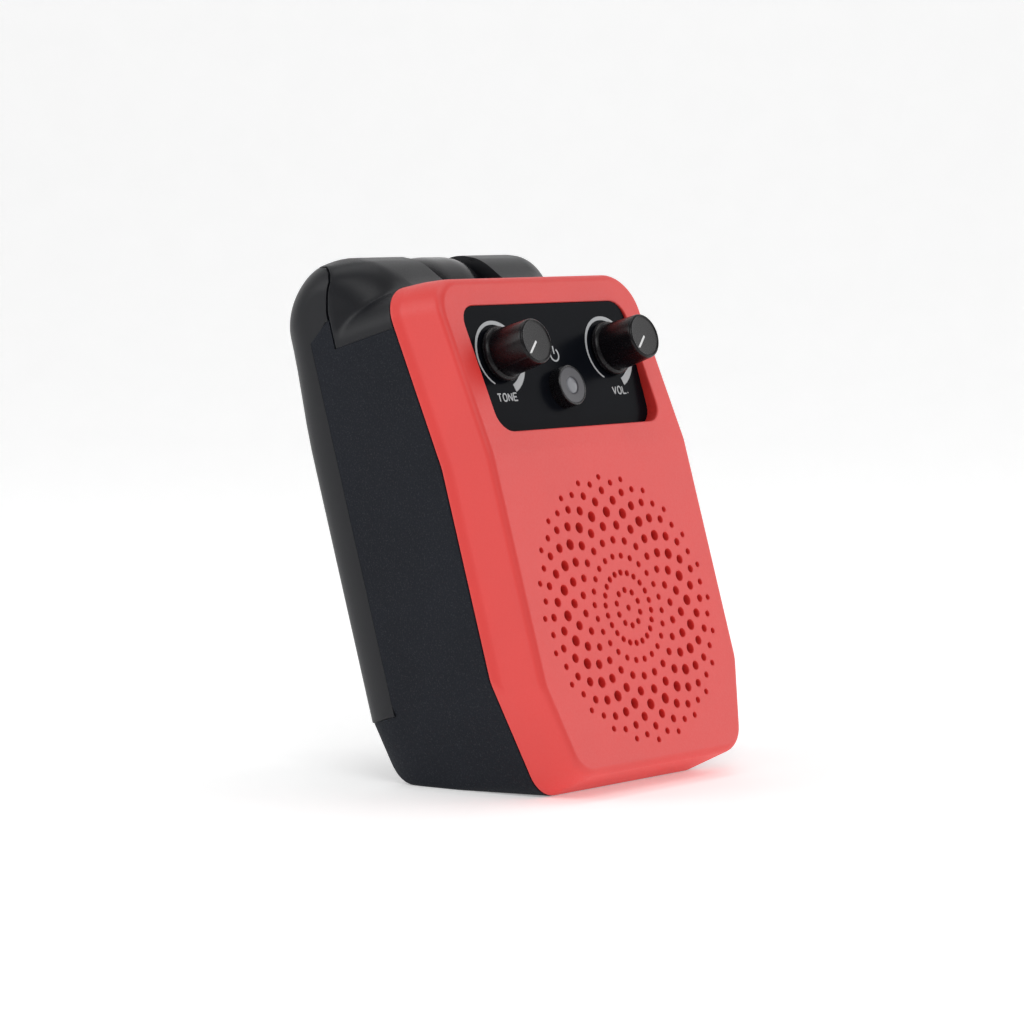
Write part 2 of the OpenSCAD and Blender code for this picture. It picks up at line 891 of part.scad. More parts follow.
module battery_cell() {
    color("royalblue") slab() translate([0, cell_d, cell_u]) {
        rod_across(cell_r, -cell_len / 2, cell_len / 2 - 1);
        rod_across(3, cell_len / 2 - 1.01, cell_len / 2 + 0.6);
    }
}

// Cradle fixed to the housing, open to the front so that the cell lifts out
module battery_holder() {
    outer = cell_len / 2 + 4;
    color("black") slab() translate([0, cell_d, cell_u]) difference() {
        union() {
            translate([-outer, -1, -cell_r - 1.6]) cube([2 * outer, cell_r + 3, 2 * cell_r + 3.2]);
            for (x = [-28, 28]) {
                translate([x - 3, 0, -6]) cube([6, back_d - wall - cell_d, 12]);
            }
        }
        rod_across(cell_r + 0.1, -outer + 2.4, outer - 2.4);
        translate([-outer + 2.4, -10, -cell_r - 0.1]) cube([2 * outer - 4.8, 10, 2 * cell_r + 0.2]);
    }
}

module battery_contacts() {
    color("silver") slab() translate([0, cell_d, cell_u]) {
        rod_across(3.4, cell_len / 2 + 0.6, cell_len / 2 + 1.5);
        rod_across(4, -cell_len / 2 - 1.5, -cell_len / 2);
    }
}

// ---------------------------------------------------------------- sockets

// Body of the 6.35 mm input jack, with its bush through the side wall
module input_jack() {
    color("dimgray") slab() translate([0, socket_d, input_u]) difference() {
        union() {
            translate([half_w - wall - 24, -7, -7]) cube([22, 7 + main_d - socket_d, 14]);
            rod_across(jack_bush_r, half_w - wall - 3, half_w - 0.1);
        }
        rod_across(jack_bore, half_w - wall - 20, half_w + 4);
    }
}

module jack_nut() {
    color("silver") slab() translate([half_w - nut_t - 0.2, socket_d, input_u]) difference() {
        rotate([0, 90, 0]) cylinder(r = nut_r, h = nut_t, $fn = 6);
        rod_across(jack_bush_r, -1, 4);
    }
}

module phones_jack() {
    color("dimgray") slab() translate([0, socket_d, phones_u]) difference() {
        union() {
            translate([half_w - wall - 12, -3.5, -3.5]) cube([12, 3.5 + main_d - socket_d, 7]);
            rod_across(3, half_w - wall - 1, half_w - 0.1);
        }
        rod_across(phones_bore, half_w - wall - 10, half_w + 2);
    }
}

module usb_socket() {
    inner_x = half_w - wall - 5;
    color("silver") slab() translate([0, socket_d, usb_u]) difference() {
        translate([inner_x, -4.5, -1.65]) cube([half_w - inner_x - 0.4, 9, 3.3]);
        translate([inner_x + 1, -4.1, -1.25]) cube([12, 8.2, 2.5]);
    }
}

// ---------------------------------------------------------------- belt clip

// Side view of the clip: a rounded neck over the pin, an arm out of the slot and a blade
module clip_side() {
    tip = pin_u - blade_len;
    translate([pin_d, pin_u]) difference() {
        circle(r = neck_r, $fn = 96);
        circle(r = neck_r - clip_wall, $fn = 96);
        polygon([[0, 0], [-60, 12], [-60, -60], [60, -60], [60, -6]]);
    }
    polygon([
        [pin_d + neck_r - 3, pin_u - 1.5], [pin_d + neck_r - 0.4, pin_u + 3.2],
        [blade_d + blade_t - 3, blade_top + 4], [blade_d + blade_t, blade_top],
        [blade_d + blade_t, tip + 12], [blade_d - 0.5, tip + 6], [blade_d, tip + 1.5],
        [blade_d - 1.6, tip], [back_d + 0.5, tip + 4.6], [back_d + 0.5, tip + 7],
        [blade_d - 1.2, tip + 13], [blade_d, tip + 18], [blade_d, blade_top - 3]]);
}

module blade_outline() {
    tip = pin_u - blade_len - 1;
    polygon(rounded(
        [[-neck_w / 2, pin_u + 30], [-neck_w / 2, pin_u - 14], [-blade_w / 2, pin_u - 30],
         [-blade_w / 2, tip], [blade_w / 2, tip], [blade_w / 2, pin_u - 30],
         [neck_w / 2, pin_u - 14], [neck_w / 2, pin_u + 30]],
        [0, 10, 10, 12, 12, 10, 10, 0]));
}

// Hinge eye inside the neck, joined to it by a rib
module clip_eye(x) {
    translate([x - 1.5, pin_d, pin_u]) {
        rotate([0, 90, 0]) cylinder(r = 4, h = 3);
        translate([0, -1.5, 0]) cube([3, 3, neck_r - 1]);
        translate([0, 0, -1.5]) cube([3, neck_r - 1, 3]);
    }
}

module belt_clip() {
    color("black") slab() difference() {
        union() {
            intersection() {
                across(60) clip_side();
                inward(-10, 90) blade_outline();
            }
            clip_eye(-neck_w / 2 + 1.5);
            clip_eye(neck_w / 2 - 1.5);
        }
        translate([0, pin_d, pin_u]) rod_across(pin_r + run, -40, 40);
    }
}

module hinge_pin() {
    color("silver") slab() translate([0, pin_d, pin_u]) rod_across(pin_r, -24, 24);
}

// Torsion spring: close turns about the pin, one leg on the bridge side, one under the neck
module clip_spring() {
    turns = 14;
    color("silver") slab() translate([0, pin_d, pin_u]) {
        for (i = [0:turns - 1]) {
            translate([(i - (turns - 1) / 2) * 2 * wire_r * 0.96, 0, 0]) rotate([0, 90, 0])
                rotate_extrude($fn = 48) translate([spring_r, 0]) circle(r = wire_r, $fn = 16);
        }
        translate([-(turns - 1) * wire_r * 0.96, 0, 0]) {
            translate([0, -spring_r, -9]) cylinder(r = wire_r, h = 9, $fn = 16);
        }
        translate([(turns - 1) * wire_r * 0.96, spring_r, 0]) {
            cylinder(r = wire_r, h = 9, $fn = 16);
        }
    }
}

// ---------------------------------------------------------------- fasteners

// Pan head screw along the depth, with its head at the back and a cross recess
module screw(p, tip_d, head_d, head_r) {
    translate([p.x, 0, p.y]) {
        rod_in(screw_r, tip_d, head_d);
        difference() {
            rod_in(head_r, head_d, head_d + 1.8);
            translate([0, head_d + 1.8, 0]) cube([head_r * 1.3, 1.6, 0.7], center = true);
            translate([0, head_d + 1.8, 0]) cube([0.7, 1.6, head_r * 1.3], center = true);
        }
    }
}

module front_screws() {
    color("silver") slab() for (p = front_posts) {
        screw(p, 7, joint_d(p.y) + 4, 2.5);
    }
}

module rear_screws() {
    color("silver") slab() for (p = rear_posts) {
        screw(p, band_d - 9, back_d - 6, 2.5);
    }
}

front_cover();
control_plate();
rear_housing();
top_bridge();
rear_cover();
knob(-knob_x);  // tone_knob
knob(knob_x);  // volume_knob
pointer(-knob_x);  // tone_pointer
pointer(knob_x);  // volume_pointer
shaft(-knob_x);  // tone_shaft
shaft(knob_x);  // volume_shaft
pot(-knob_x);  // tone_pot
pot(knob_x);  // volume_pot
pot_nuts();
pot_washers();
power_button();
button_cap();
button_lens();
switch_plunger();
power_switch();
control_board();
main_board();
board_parts();
ribbon_cable();
speaker_gasket();
speaker_frame();
speaker_surround();
speaker_cone();
speaker_dust_cap();
speaker_voice_coil();
speaker_spider();
speaker_magnet();
speaker_plates();
speaker_terminals();
speaker_screws();
speaker_leads();
battery_cell();
battery_holder();
battery_contacts();
input_jack();
jack_nut();
phones_jack();
usb_socket();
belt_clip();
hinge_pin();
clip_spring();
front_screws();
rear_screws();
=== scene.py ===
"""A small battery practice amplifier for guitar that leans back on a wedge base.

A red front cover with a round grille holds a black control plate with two knobs and a power
button. Behind it are a textured black housing, a satin top bridge and rear cover that meet in
a rounded hump, and a sprung belt clip whose neck runs in a channel through the hump.
Three frames are used: the row frame in metres, the slab frame (x across, depth behind the
grille face, height along it, in millimetres) and the control plate's own frame.
"""

import json
import math

import bmesh
import bpy
from mathutils import Matrix, Vector


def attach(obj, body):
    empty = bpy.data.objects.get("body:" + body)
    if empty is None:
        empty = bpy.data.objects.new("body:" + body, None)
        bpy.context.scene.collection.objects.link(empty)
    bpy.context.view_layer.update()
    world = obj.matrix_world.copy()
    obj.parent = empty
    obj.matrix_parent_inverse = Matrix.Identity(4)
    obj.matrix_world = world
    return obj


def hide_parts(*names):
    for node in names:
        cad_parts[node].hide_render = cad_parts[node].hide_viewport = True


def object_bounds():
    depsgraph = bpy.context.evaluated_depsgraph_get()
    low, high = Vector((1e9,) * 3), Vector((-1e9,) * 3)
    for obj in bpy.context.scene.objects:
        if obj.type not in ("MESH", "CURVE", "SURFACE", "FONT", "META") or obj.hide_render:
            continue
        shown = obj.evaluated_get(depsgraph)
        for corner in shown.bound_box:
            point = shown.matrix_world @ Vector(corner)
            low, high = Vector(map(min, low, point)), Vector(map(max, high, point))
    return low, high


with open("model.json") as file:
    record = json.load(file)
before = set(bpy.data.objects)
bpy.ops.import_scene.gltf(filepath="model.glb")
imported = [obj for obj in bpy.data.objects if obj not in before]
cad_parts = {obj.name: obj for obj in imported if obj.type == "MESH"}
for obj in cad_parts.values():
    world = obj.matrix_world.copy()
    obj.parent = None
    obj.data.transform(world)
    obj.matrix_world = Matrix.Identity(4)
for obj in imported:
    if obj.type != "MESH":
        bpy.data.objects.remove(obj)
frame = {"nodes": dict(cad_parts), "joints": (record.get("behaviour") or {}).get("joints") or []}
cad_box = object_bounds()

# ---------------------------------------------------------------- measurements, in millimetres

HALF_W = 48.8                    # half width at the joint
WALL = 2.5
BEND_U, SLOPE = 48.6, math.tan(math.radians(7.4))    # where and how far the face bends back
JOINT_D = 17.4                   # joint behind the grille face
FACE_TOP, TOP_RISE = 101.8, 2.4  # top of the face, and the rise from it to the joint
TOP_U = 103.6                    # top of the bridge behind the joint
TAPER_U, TAPER = -13.6, 0.29     # start of the tapering sides, and their slope
FOOT_U, FOOT_DROP = -46.0, 2.87  # lower edge of the face, and the fall from it to the joint
BASE_U0, BASE_SLOPE = -54.024, math.tan(math.radians(16.5))
BACK_D = 66.6                    # back of the rear cover
EDGE_X, EDGE_D = 4.0, 11.6       # rounding of the long back edges
PIN_D, PIN_U, HUMP_R = 47.6, 100.0, 19.0     # the clip's pin, and the hump about it
HUMP_END_X, HUMP_END = 11.0, 10.5    # rounding of the hump's ends, across and inward
BRIDGE_U, REAR_U = 92.0, -16.0   # lower edges of the bridge and of the rear cover
SPLIT_D = 46.5                   # joint between bridge and rear cover
CHANNEL = 14.2                   # half width of the clip's channel
WINDOW_HALF_W, WINDOW_H = 38.5, 38.8         # opening over the control plate
PLATE_T, LEDGE = 1.6, 1.6        # the plate, and the ledge it lies against
KNOB_X, KNOB_DROP = 25.9, 15.2   # knobs from the middle, and below the opening's top edge
BUTTON_DROP = 26.2
REST_TURN = 48                   # pointers at rest, from straight down
GRILLE_R, HOLE_D = 40.7, 3.1     # reach of the grille's pattern, and its widest holes

# ---------------------------------------------------------------- frames

joints = {joint["name"]: joint for joint in frame["joints"]}
pin = Vector(joints["clip_open"]["pos_m"])
plate_axis = Vector(joints["tone_turn"]["axis"])
knobs_mid = (Vector(joints["tone_turn"]["pos_m"]) + Vector(joints["volume_turn"]["pos_m"])) / 2
plate_lean = math.atan2(-plate_axis.z, plate_axis.y)
MM = Matrix.Scale(0.001, 4)


def turn(degrees, axis):
    return Matrix.Rotation(math.radians(degrees), 4, axis)


SLAB = (Matrix.Translation(pin) @ turn(-16.5, "X") @ MM
        @ Matrix.Translation((0, -PIN_D, -PIN_U)))
PLATE = (Matrix.Translation(knobs_mid) @ Matrix.Rotation(-plate_lean, 4, "X") @ MM
         @ Matrix.Translation((0, 0, KNOB_DROP)))
PLATE_IN_SLAB = SLAB.inverted() @ PLATE
FACE_IN_SLAB = (Matrix.Translation((0, 0, BEND_U)) @ turn(-7.4, "X")
                @ Matrix.Translation((0, 0, 45.4)))


def knob_frame(x):
    """Frame of a knob: z out of the plate, -y towards the pointer at rest."""
    return PLATE @ Matrix.Translation((x, 0, -KNOB_DROP)) @ turn(REST_TURN, "Y") @ turn(90, "X")


BUTTON = PLATE @ Matrix.Translation((0, 0, -BUTTON_DROP)) @ turn(90, "X")

# ---------------------------------------------------------------- outlines


def corner(a, p, b, radius, steps):
    """Points of the arc that rounds the corner p between its neighbours a and b."""
    a, p, b = Vector(a), Vector(p), Vector(b)
    to_a, to_b = (a - p).normalized(), (b - p).normalized()
    half = to_a.angle(to_b) / 2
    reach = radius / math.tan(half)
    centre = p + (to_a + to_b).normalized() * radius / math.sin(half)
    start = p + to_a * reach - centre
    end = p + to_b * reach - centre
    first = math.atan2(start.y, start.x)
    sweep = (math.atan2(end.y, end.x) - first + math.pi) % (2 * math.pi) - math.pi
    return [(centre.x + radius * math.cos(first + sweep * i / steps),
             centre.y + radius * math.sin(first + sweep * i / steps)) for i in range(steps + 1)]


def rounded(points, radii, steps=6):
    n = len(points)
    out = []
    for i in range(n):
        out += corner(points[i - 1], points[i], points[(i + 1) % n], radii[i], steps)
    return out


def mirrored(side):
    """A closed ring from the points of its right side, given from bottom to top."""
    return side + [(-x, u) for x, u in reversed(side)]


def ramp(value, low, high):
    """0 below low, 1 above high, smooth in between."""
    t = min(1.0, max(0.0, (value - low) / (high - low)))
    return t * t * (3 - 2 * t)


def bend(u, soft=1.4):
    """How far the face lies back at a height, with a soft fold at the bend."""
    v = u - BEND_U
    if v <= -soft:
        return 0.0
    return SLOPE * (v + soft) ** 2 / (4 * soft) if v < soft else SLOPE * v


def quarter(radius, steps=5):
    """(distance along, distance in) of a quarter round, from the flat to the edge."""
    return [(radius * math.sin(math.pi / 2 * i / steps),
             radius * (1 - math.cos(math.pi / 2 * i / steps))) for i in range(steps + 1)]

# ---------------------------------------------------------------- mesh making


def build(name, points, faces):
    """A mesh object with outward normals, from points and faces."""
    mesh = bpy.data.meshes.new(name)
    mesh.from_pydata([tuple(p) for p in points], [], faces)
    work = bmesh.new()
    work.from_mesh(mesh)
    bmesh.ops.remove_doubles(work, verts=work.verts, dist=1e-5)
    bmesh.ops.recalc_face_normals(work, faces=work.faces)
    work.to_mesh(mesh)
    work.free()
    obj = bpy.data.objects.new(name, mesh)
    bpy.context.scene.collection.objects.link(obj)
    return obj


def skin(loops, closed=True):
    """Points and quads of a surface through loops of equal length."""
    n = len(loops[0])
    points = [p for loop in loops for p in loop]
    faces = []
    for j in range(len(loops) - 1):
        for i in range(n if closed else n - 1):
            a, b = j * n + i, j * n + (i + 1) % n
            faces.append((a, b, b + n, a + n))
    return points, faces


def ladder(n, start, cuts):
    """Faces that close a mirrored ring of n points, split at the given rows of its right side."""
    rows = [0] + list(cuts) + [n // 2 - 1]
    faces = []
    for low, high in zip(rows, rows[1:]):
        right = [start + i for i in range(low, high + 1)]
        left = [start + n - 1 - i for i in range(high, low - 1, -1)]
        faces.append(tuple(right + left))
    return faces


def solid(name, loops, cuts=()):
    """A closed solid through mirrored loops, its ends split into flat parts at cuts."""
    points, faces = skin(loops)
    n = len(loops[0])
    return build(name, points, faces + ladder(n, 0, cuts) + ladder(n, len(points) - n, cuts))


def tube(name, outer, inner):
    """A closed shell between outer and inner open profiles, along matching stations."""
    loops = [a + list(reversed(b)) for a, b in zip(outer, inner)]
    points, faces = skin(loops)
    n, m = len(loops[0]), len(outer[0])
    for start in (0, len(points) - n):
        faces += [(start + i, start + i + 1, start + n - 2 - i, start + n - 1 - i)
                  for i in range(m - 1)]
    return build(name, points, faces)


def prism(name, outline, low, high, place=None, along="y"):
    """A prism of an outline, along depth ("y") or across ("x")."""
    if along == "y":
        ends = [[(x, d, u) for x, u in outline] for d in (low, high)]
    else:
        ends = [[(x, d, u) for d, u in outline] for x in (low, high)]
    points, faces = skin(ends)
    n = len(outline)
    obj = build(name, points, faces + [tuple(range(n)), tuple(range(n, 2 * n))])
    if place:
        obj.data.transform(place)
    return obj


def lathe(name, profile, segments=96, place=None):
    """A solid of revolution about z from (radius, height) pairs that start and end on the axis
    or close on themselves."""
    points, faces = [], []
    closed = profile[0][0] > 0
    for k in range(segments):
        a = 2 * math.pi * k / segments
        points += [(r * math.cos(a), r * math.sin(a), z) for r, z in profile]
    n = len(profile)
    for k in range(segments):
        for i in range(n if closed else n - 1):
            j, k2 = (i + 1) % n, (k + 1) % segments
            quad = (k * n + i, k * n + j, k2 * n + j, k2 * n + i)
            if profile[i][0] == 0:
                quad = quad[:3]
            elif profile[j][0] == 0:
                quad = (quad[0], quad[1], quad[3])
            faces.append(quad)
    obj = build(name, points, faces)
    if place:
        obj.data.transform(place)
    return obj


def combine(target, other, operation="DIFFERENCE"):
    """Cuts other from target, joins it on or keeps the overlap, and removes other."""
    step = target.modifiers.new("step", "BOOLEAN")
    step.object = other
    step.operation = operation
    step.solver = "EXACT"
    bpy.context.view_layer.update()
    result = bpy.data.meshes.new_from_object(
        target.evaluated_get(bpy.context.evaluated_depsgraph_get()))
    target.modifiers.clear()
    old, used = target.data, other.data
    target.data = result
    bpy.data.meshes.remove(old)
    bpy.data.objects.remove(other)
    bpy.data.meshes.remove(used)


def join(name, parts):
    """One object from several that don't touch."""
    work = bmesh.new()
    for part in parts:
        work.from_mesh(part.data)
    mesh = bpy.data.meshes.new(name)
    work.to_mesh(mesh)
    work.free()
    for part in parts:
        data = part.data
        bpy.data.objects.remove(part)
        bpy.data.meshes.remove(data)
    obj = bpy.data.objects.new(name, mesh)
    bpy.context.scene.collection.objects.link(obj)
    return obj


def soften(obj, chosen, radius, segments=3):
    """Rounds the edges for which chosen(edge) holds."""
    work = bmesh.new()
    work.from_mesh(obj.data)
    edges = [e for e in work.edges if len(e.link_faces) == 2 and chosen(e)]
    bmesh.ops.bevel(work, geom=edges, offset=radius, offset_type="OFFSET", segments=segments,
                    profile=0.5, affect="EDGES", clamp_overlap=True)
    work.to_mesh(obj.data)
    work.free()


def settle(obj, body, material, stands_for=(), place=None, angle=32):
    """Puts a finished piece in the row frame with its body, material and shading, hiding the
    parts it stands for.
    """
    if place:
        obj.data.transform(place)
    work = bmesh.new()
    work.from_mesh(obj.data)
    bmesh.ops.remove_doubles(work, verts=work.verts, dist=1e-8)
    bmesh.ops.recalc_face_normals(work, faces=work.faces)
    work.to_mesh(obj.data)
    work.free()
    obj.data.shade_smooth()
    obj.data.set_sharp_from_angle(angle=math.radians(angle))
    normals = obj.modifiers.new("normals", "WEIGHTED_NORMAL")
    normals.keep_sharp = True
    obj.data.materials.clear()
    obj.data.materials.append(material)
    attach(obj, body)
    if stands_for:
        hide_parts(*stands_for)
    return obj

# ---------------------------------------------------------------- front cover


def draft(depth):
    """How far the cover's sides stand in from the joint's width."""
    if depth < 13.9:
        return 1.6 - 0.2 * max(0.0, depth) / 14.4
    return 1.4 * (1 - ramp(depth, 13.6, 18.0)) if depth < JOINT_D else 0.0


BEND_ROWS = [BEND_U + v for v in (-1.6, -1.2, -0.8, -0.4, 0, 0.4, 0.8, 1.2, 1.6)]


def cover_loop(depth, inset):
    """Ring of the cover at a depth behind its face, drawn in by inset."""
    low = FOOT_U - FOOT_DROP * min(1.0, max(0.0, depth / JOINT_D)) + inset
    side = HALF_W - draft(depth) - inset
    foot = HALF_W - TAPER * (TAPER_U - low) - 1.0412 * inset
    knee = TAPER_U - (draft(depth) - 0.0412 * inset) / TAPER
    top = FACE_TOP + TOP_RISE * (1 - max(0.0, 1 - max(0.0, depth) / JOINT_D) ** 2) - inset
    right = (corner((0, low), (foot, low), (side, knee), max(1.5, 9 - inset), 8)
             + corner((foot, low), (side, knee), (side, top), 12, 6)
             + [(side, u) for u in BEND_ROWS]
             + corner((side, knee), (side, top), (0, top), max(2.0, 11 - inset), 10))
    return [(x, depth + bend(u), u) for x, u in mirrored(right)]


COVER_CUTS = range(16, 16 + len(BEND_ROWS))


def hole_diameter(ring):
    return HOLE_D * (0.56, 0.56, 0.56, 0.56, 0.7, 0.85, 1, 0.84, 0.71, 0.57, 0.52)[ring]


def grille_cutter():
    """All the grille's holes, each flared a little where it meets the face."""
    counts = (1, 10, 22) + (24,) * 8
    holes = []
    for ring, count in enumerate(counts):
        radius = hole_diameter(ring) / 2
        profile = [(0, -4), (radius, -4), (radius, -0.28), (radius + 0.08, -0.09),
                   (radius + 0.31, 0.06), (radius + 0.31, 1), (0, 1)]
        offset = 0.5 if ring % 2 == 1 or ring == 2 else 0
        for i in range(count):
            angle = 2 * math.pi * (i + offset) / count
            reach = GRILLE_R * math.sin(math.radians(7.5 * ring))
            place = Matrix.Translation((reach * math.cos(angle), 0, -reach * math.sin(angle)))
            holes.append(lathe("hole", profile, 20, place @ turn(90, "X")))
    return join("holes", holes)


def window(grow, radius=6.0):
    w = WINDOW_HALF_W + grow
    return rounded([(-w, grow), (-w, -WINDOW_H - grow), (w, -WINDOW_H - grow), (w, grow)],
                   [radius + grow] * 4)


def front_cover(material):
    edge = 2.1
    loops = [cover_loop(JOINT_D - 0.1, 0.3), cover_loop(JOINT_D - 0.19, 0.1),
             cover_loop(JOINT_D - 0.4, 0)]
    loops += [cover_loop(d, 0) for d in (17.0, 16.4, 15.8, 15.2, 14.6, 14.1, 13.6, 12.8, 9, 5)]
    loops += [cover_loop(edge - along, inset) for along, inset in quarter(edge, 7)]
    cover = solid("front_cover_shell", loops, COVER_CUTS)
    cavity = solid("cavity", [cover_loop(d, WALL) for d in (30, 18, 16.5, 15, 13.6, 8, WALL)],
                   COVER_CUTS)
    combine(cavity, prism("frame", window(1.8), -10, PLATE_T + LEDGE, PLATE_IN_SLAB))
    combine(cover, cavity)
    combine(cover, prism("opening", window(0), -12, PLATE_T + 0.05, PLATE_IN_SLAB))
    combine(cover, prism("ledge", window(-LEDGE), -12, 8, PLATE_IN_SLAB))
    rim = 0.45
    levels = [(-1.0, rim)] + [(y, rim - g) for g, y in quarter(rim, 4)] + [(1.1, -0.3)]
    ends = [[(x, y, u * 1.005) for x, u in window(g)] for y, g in levels]
    points, faces = skin(ends)
    n = len(ends[0])
    flare = build("flare", points,
                  faces + [tuple(range(n)), tuple(range(len(points) - n, len(points)))])
    flare.data.transform(FACE_IN_SLAB)
    combine(cover, flare)
    combine(cover, grille_cutter())
    return settle(cover, "body", material, ["front_cover"], SLAB)

# ---------------------------------------------------------------- rear housing


def edge_inset(depth, inset=0.0, back=BACK_D):
    """Half width of the body where its long back edges round over."""
    if depth <= back - EDGE_D:
        return HALF_W - inset
    t = min(1.0, (depth - back + EDGE_D) / (EDGE_D - inset))
    return HALF_W - EDGE_X + (EDGE_X - inset) * math.sqrt(1 - t * t)


def housing_loop(depth, inset, high):
    """Ring of the housing at a depth, drawn in by inset; it follows the joint in front."""
    heel_d, heel_u, heel_r = 57.85, -28.55, 8.0 - inset
    if depth < heel_d + heel_r * math.sin(math.radians(16.5)):
        low = BASE_U0 + BASE_SLOPE * depth + inset / math.cos(math.radians(16.5))
    else:
        low = heel_u - math.sqrt(max(0.0, heel_r ** 2 - (depth - heel_d) ** 2))
    side = edge_inset(depth, inset)
    foot = side - TAPER * (TAPER_U - low) - 0.0412 * inset
    knee = TAPER_U + 0.0412 * inset / TAPER
    radius = max(0.8, 9 - 7.5 * min(1, (depth - JOINT_D) / 27.6) - inset)
    right = (corner((0, low), (foot, low), (side, knee), radius, 8)
             + corner((foot, low), (side, knee), (side, high), 12, 6)
             + [(side, u) for u in BEND_ROWS]
             + corner((side, knee), (side, high), (0, high), 1, 3))
    fade = min(1.0, max(0.0, 1 - (depth - JOINT_D) / 27.6))
    return [(x, depth + bend(u) * fade, u) for x, u in mirrored(right)]


def rear_housing(material):
    heel = [57.85 + 8 * math.sin(math.radians(a)) for a in (16.5, 26, 36, 46, 56, 66, 76, 84, 90)]
    depths = [JOINT_D + 0.7, 22, 27, 32, 37, 42, 45, 50, 55, 57, 58.5] + heel
    loops = [housing_loop(JOINT_D + 0.12, 0.35, 101), housing_loop(JOINT_D + 0.25, 0.1, 101)]
    loops += [housing_loop(d, 0, 101) for d in depths]
    housing = solid("housing_shell", loops, COVER_CUTS)
    inner = [10, JOINT_D, 22, 27, 32, 37, 42, 45, 50, 55, 57.5, 59.4, 61, 62.4, 63.2]
    combine(housing, solid("room", [housing_loop(d, WALL, 130) for d in inner], COVER_CUTS))
    above = [(0, 91.9), (46.35, 91.9), (46.35, 100.9), (54.9, 95.9), (54.9, REAR_U - 0.1),
             (80, REAR_U - 0.1), (80, 140), (0, 140)]
    combine(housing, prism("above", above, -60, 60, along="x"))
    side = turn(90, "Y")
    for u, radius, depth in ((48, 7.4, 1.8), (48, 4.6, 6), (28, 3.15, 6)):
        place = Matrix.Translation((HALF_W - depth, 38, u)) @ side
        rim = 0.35
        bore = lathe("bore", [(0, 0), (radius, 0), (radius, depth - rim), (radius + rim, depth),
                              (radius + rim, depth + 2), (0, depth + 2)], 48, place)
        combine(housing, bore)
    slot_outline = rounded([(33.3, 10.2), (42.7, 10.2), (42.7, 13.8), (33.3, 13.8)], [1.7] * 4)
    combine(housing, prism("usb_slot", slot_outline, 40, 60, along="x"))
    return settle(housing, "body", material, ["rear_housing"], SLAB)

# ---------------------------------------------------------------- rear cover


def shoulder(theta):
    """Depth of the rear cover's side, inward from its outer surface, at a barrel angle."""
    return 18.6 if theta > 0 else 18.4


def rear_stations():
    """(outer point, inward direction, side depth, end rounding) along the back and barrel."""
    stations = []
    heights = [REAR_U + v for v in (0, 0.12, 0.4, 1.0, 6)] + [0, 15, 30, 45, 58, 66, 74, 82, 90,
                                                             95.9, 97.5, 99]
    for u in heights:
        reach = 11.6 if u <= 95.9 else 11.7 + (u - 95.9) / 0.585
        stations.append(((BACK_D, u), (-1.0, 0.0), reach, 0.5 * ramp(u, 66, 100)))
    for theta in [4.0 * k for k in range(27)]:
        a = math.radians(theta)
        inward = math.radians(min(theta, 90.0))
        out = (PIN_D + HUMP_R * math.cos(a), PIN_U + HUMP_R * math.sin(a))
        stations.append((out, (-math.cos(inward), -math.sin(inward)), shoulder(theta),
                         0.5 + 0.5 * ramp(theta, 0, 60)))
    return stations


def rear_section(out, inward, reach, blend, inset):
    """Profile across the rear cover from the right end of its side to the left."""
    ex = EDGE_X + (HUMP_END_X - EDGE_X) * blend
    ed = EDGE_D + (HUMP_END - EDGE_D) * blend
    right = [(HALF_W - inset, reach), (HALF_W - inset, max(ed, reach * 0.5))]
    for k in range(13):
        a = math.pi / 2 * k / 12
        right.append((HALF_W - ex + (ex - inset) * math.cos(a),
                      ed - (ed - inset) * math.sin(a)))
    right += [(x, inset) for x in (34, 27, 20, 12, 4)]
    ring = right + [(-x, h) for x, h in reversed(right)]
    return [(x, out[0] + inward[0] * h, out[1] + inward[1] * h) for x, h in ring]


def rear_cover(material):
    outer, inner = [], []
    for i, (out, inward, reach, blend) in enumerate(rear_stations()):
        lip = (0.35, 0.12, 0)[i] if i < 3 else 0
        outer.append(rear_section(out, inward, reach, blend, lip))
        inner.append(rear_section(out, inward, reach, blend, WALL))
    cover = tube("rear_cover_shell", outer, inner)
    slot = rounded([(-CHANNEL, 93), (CHANNEL, 93), (CHANNEL, 140), (-CHANNEL, 140)],
                   [3, 3, 1, 1], 5)
    combine(cover, prism("channel", slot, 30, 90))
    heights = [99 + 0.4 * k for k in range(51)]
    front = [(SPLIT_D + 0.1 + seam_shift(u), u) for u in heights] + [(20, 130), (20, 99)]
    combine(cover, prism("front_of_seam", front, -60, 60, along="x"))
    for x in (-40, 40):
        for u in (-4, 78):
            place = Matrix.Translation((x, 60.6, u)) @ turn(-90, "X")
            bore = [(0, 0), (2.9, 0), (2.9, 5.6), (3.2, 6.05), (3.2, 8), (0, 8)]
            combine(cover, lathe("recess", bore, 40, place))
            wall = [(2.91, 0), (3.8, 0), (3.8, 4.4), (2.91, 4.4)]
            combine(cover, lathe("post", wall, 40, place), "UNION")

    def at_channel(edge):
        ends = [v.co for v in edge.verts]
        return (all(abs(abs(p.x) - CHANNEL) < 0.02 for p in ends)
                and all(math.hypot(p.y - PIN_D, p.z - PIN_U) > HUMP_R - 0.2 for p in ends)
                and all(p.z > 97 for p in ends))
    soften(cover, at_channel, 0.8)
    return settle(cover, "body", material, ["rear_cover"], SLAB)

# ---------------------------------------------------------------- top bridge


def smooth_min(a, b, k):
    h = max(k - abs(a - b), 0) / k
    return min(a, b) - h * h * k / 4


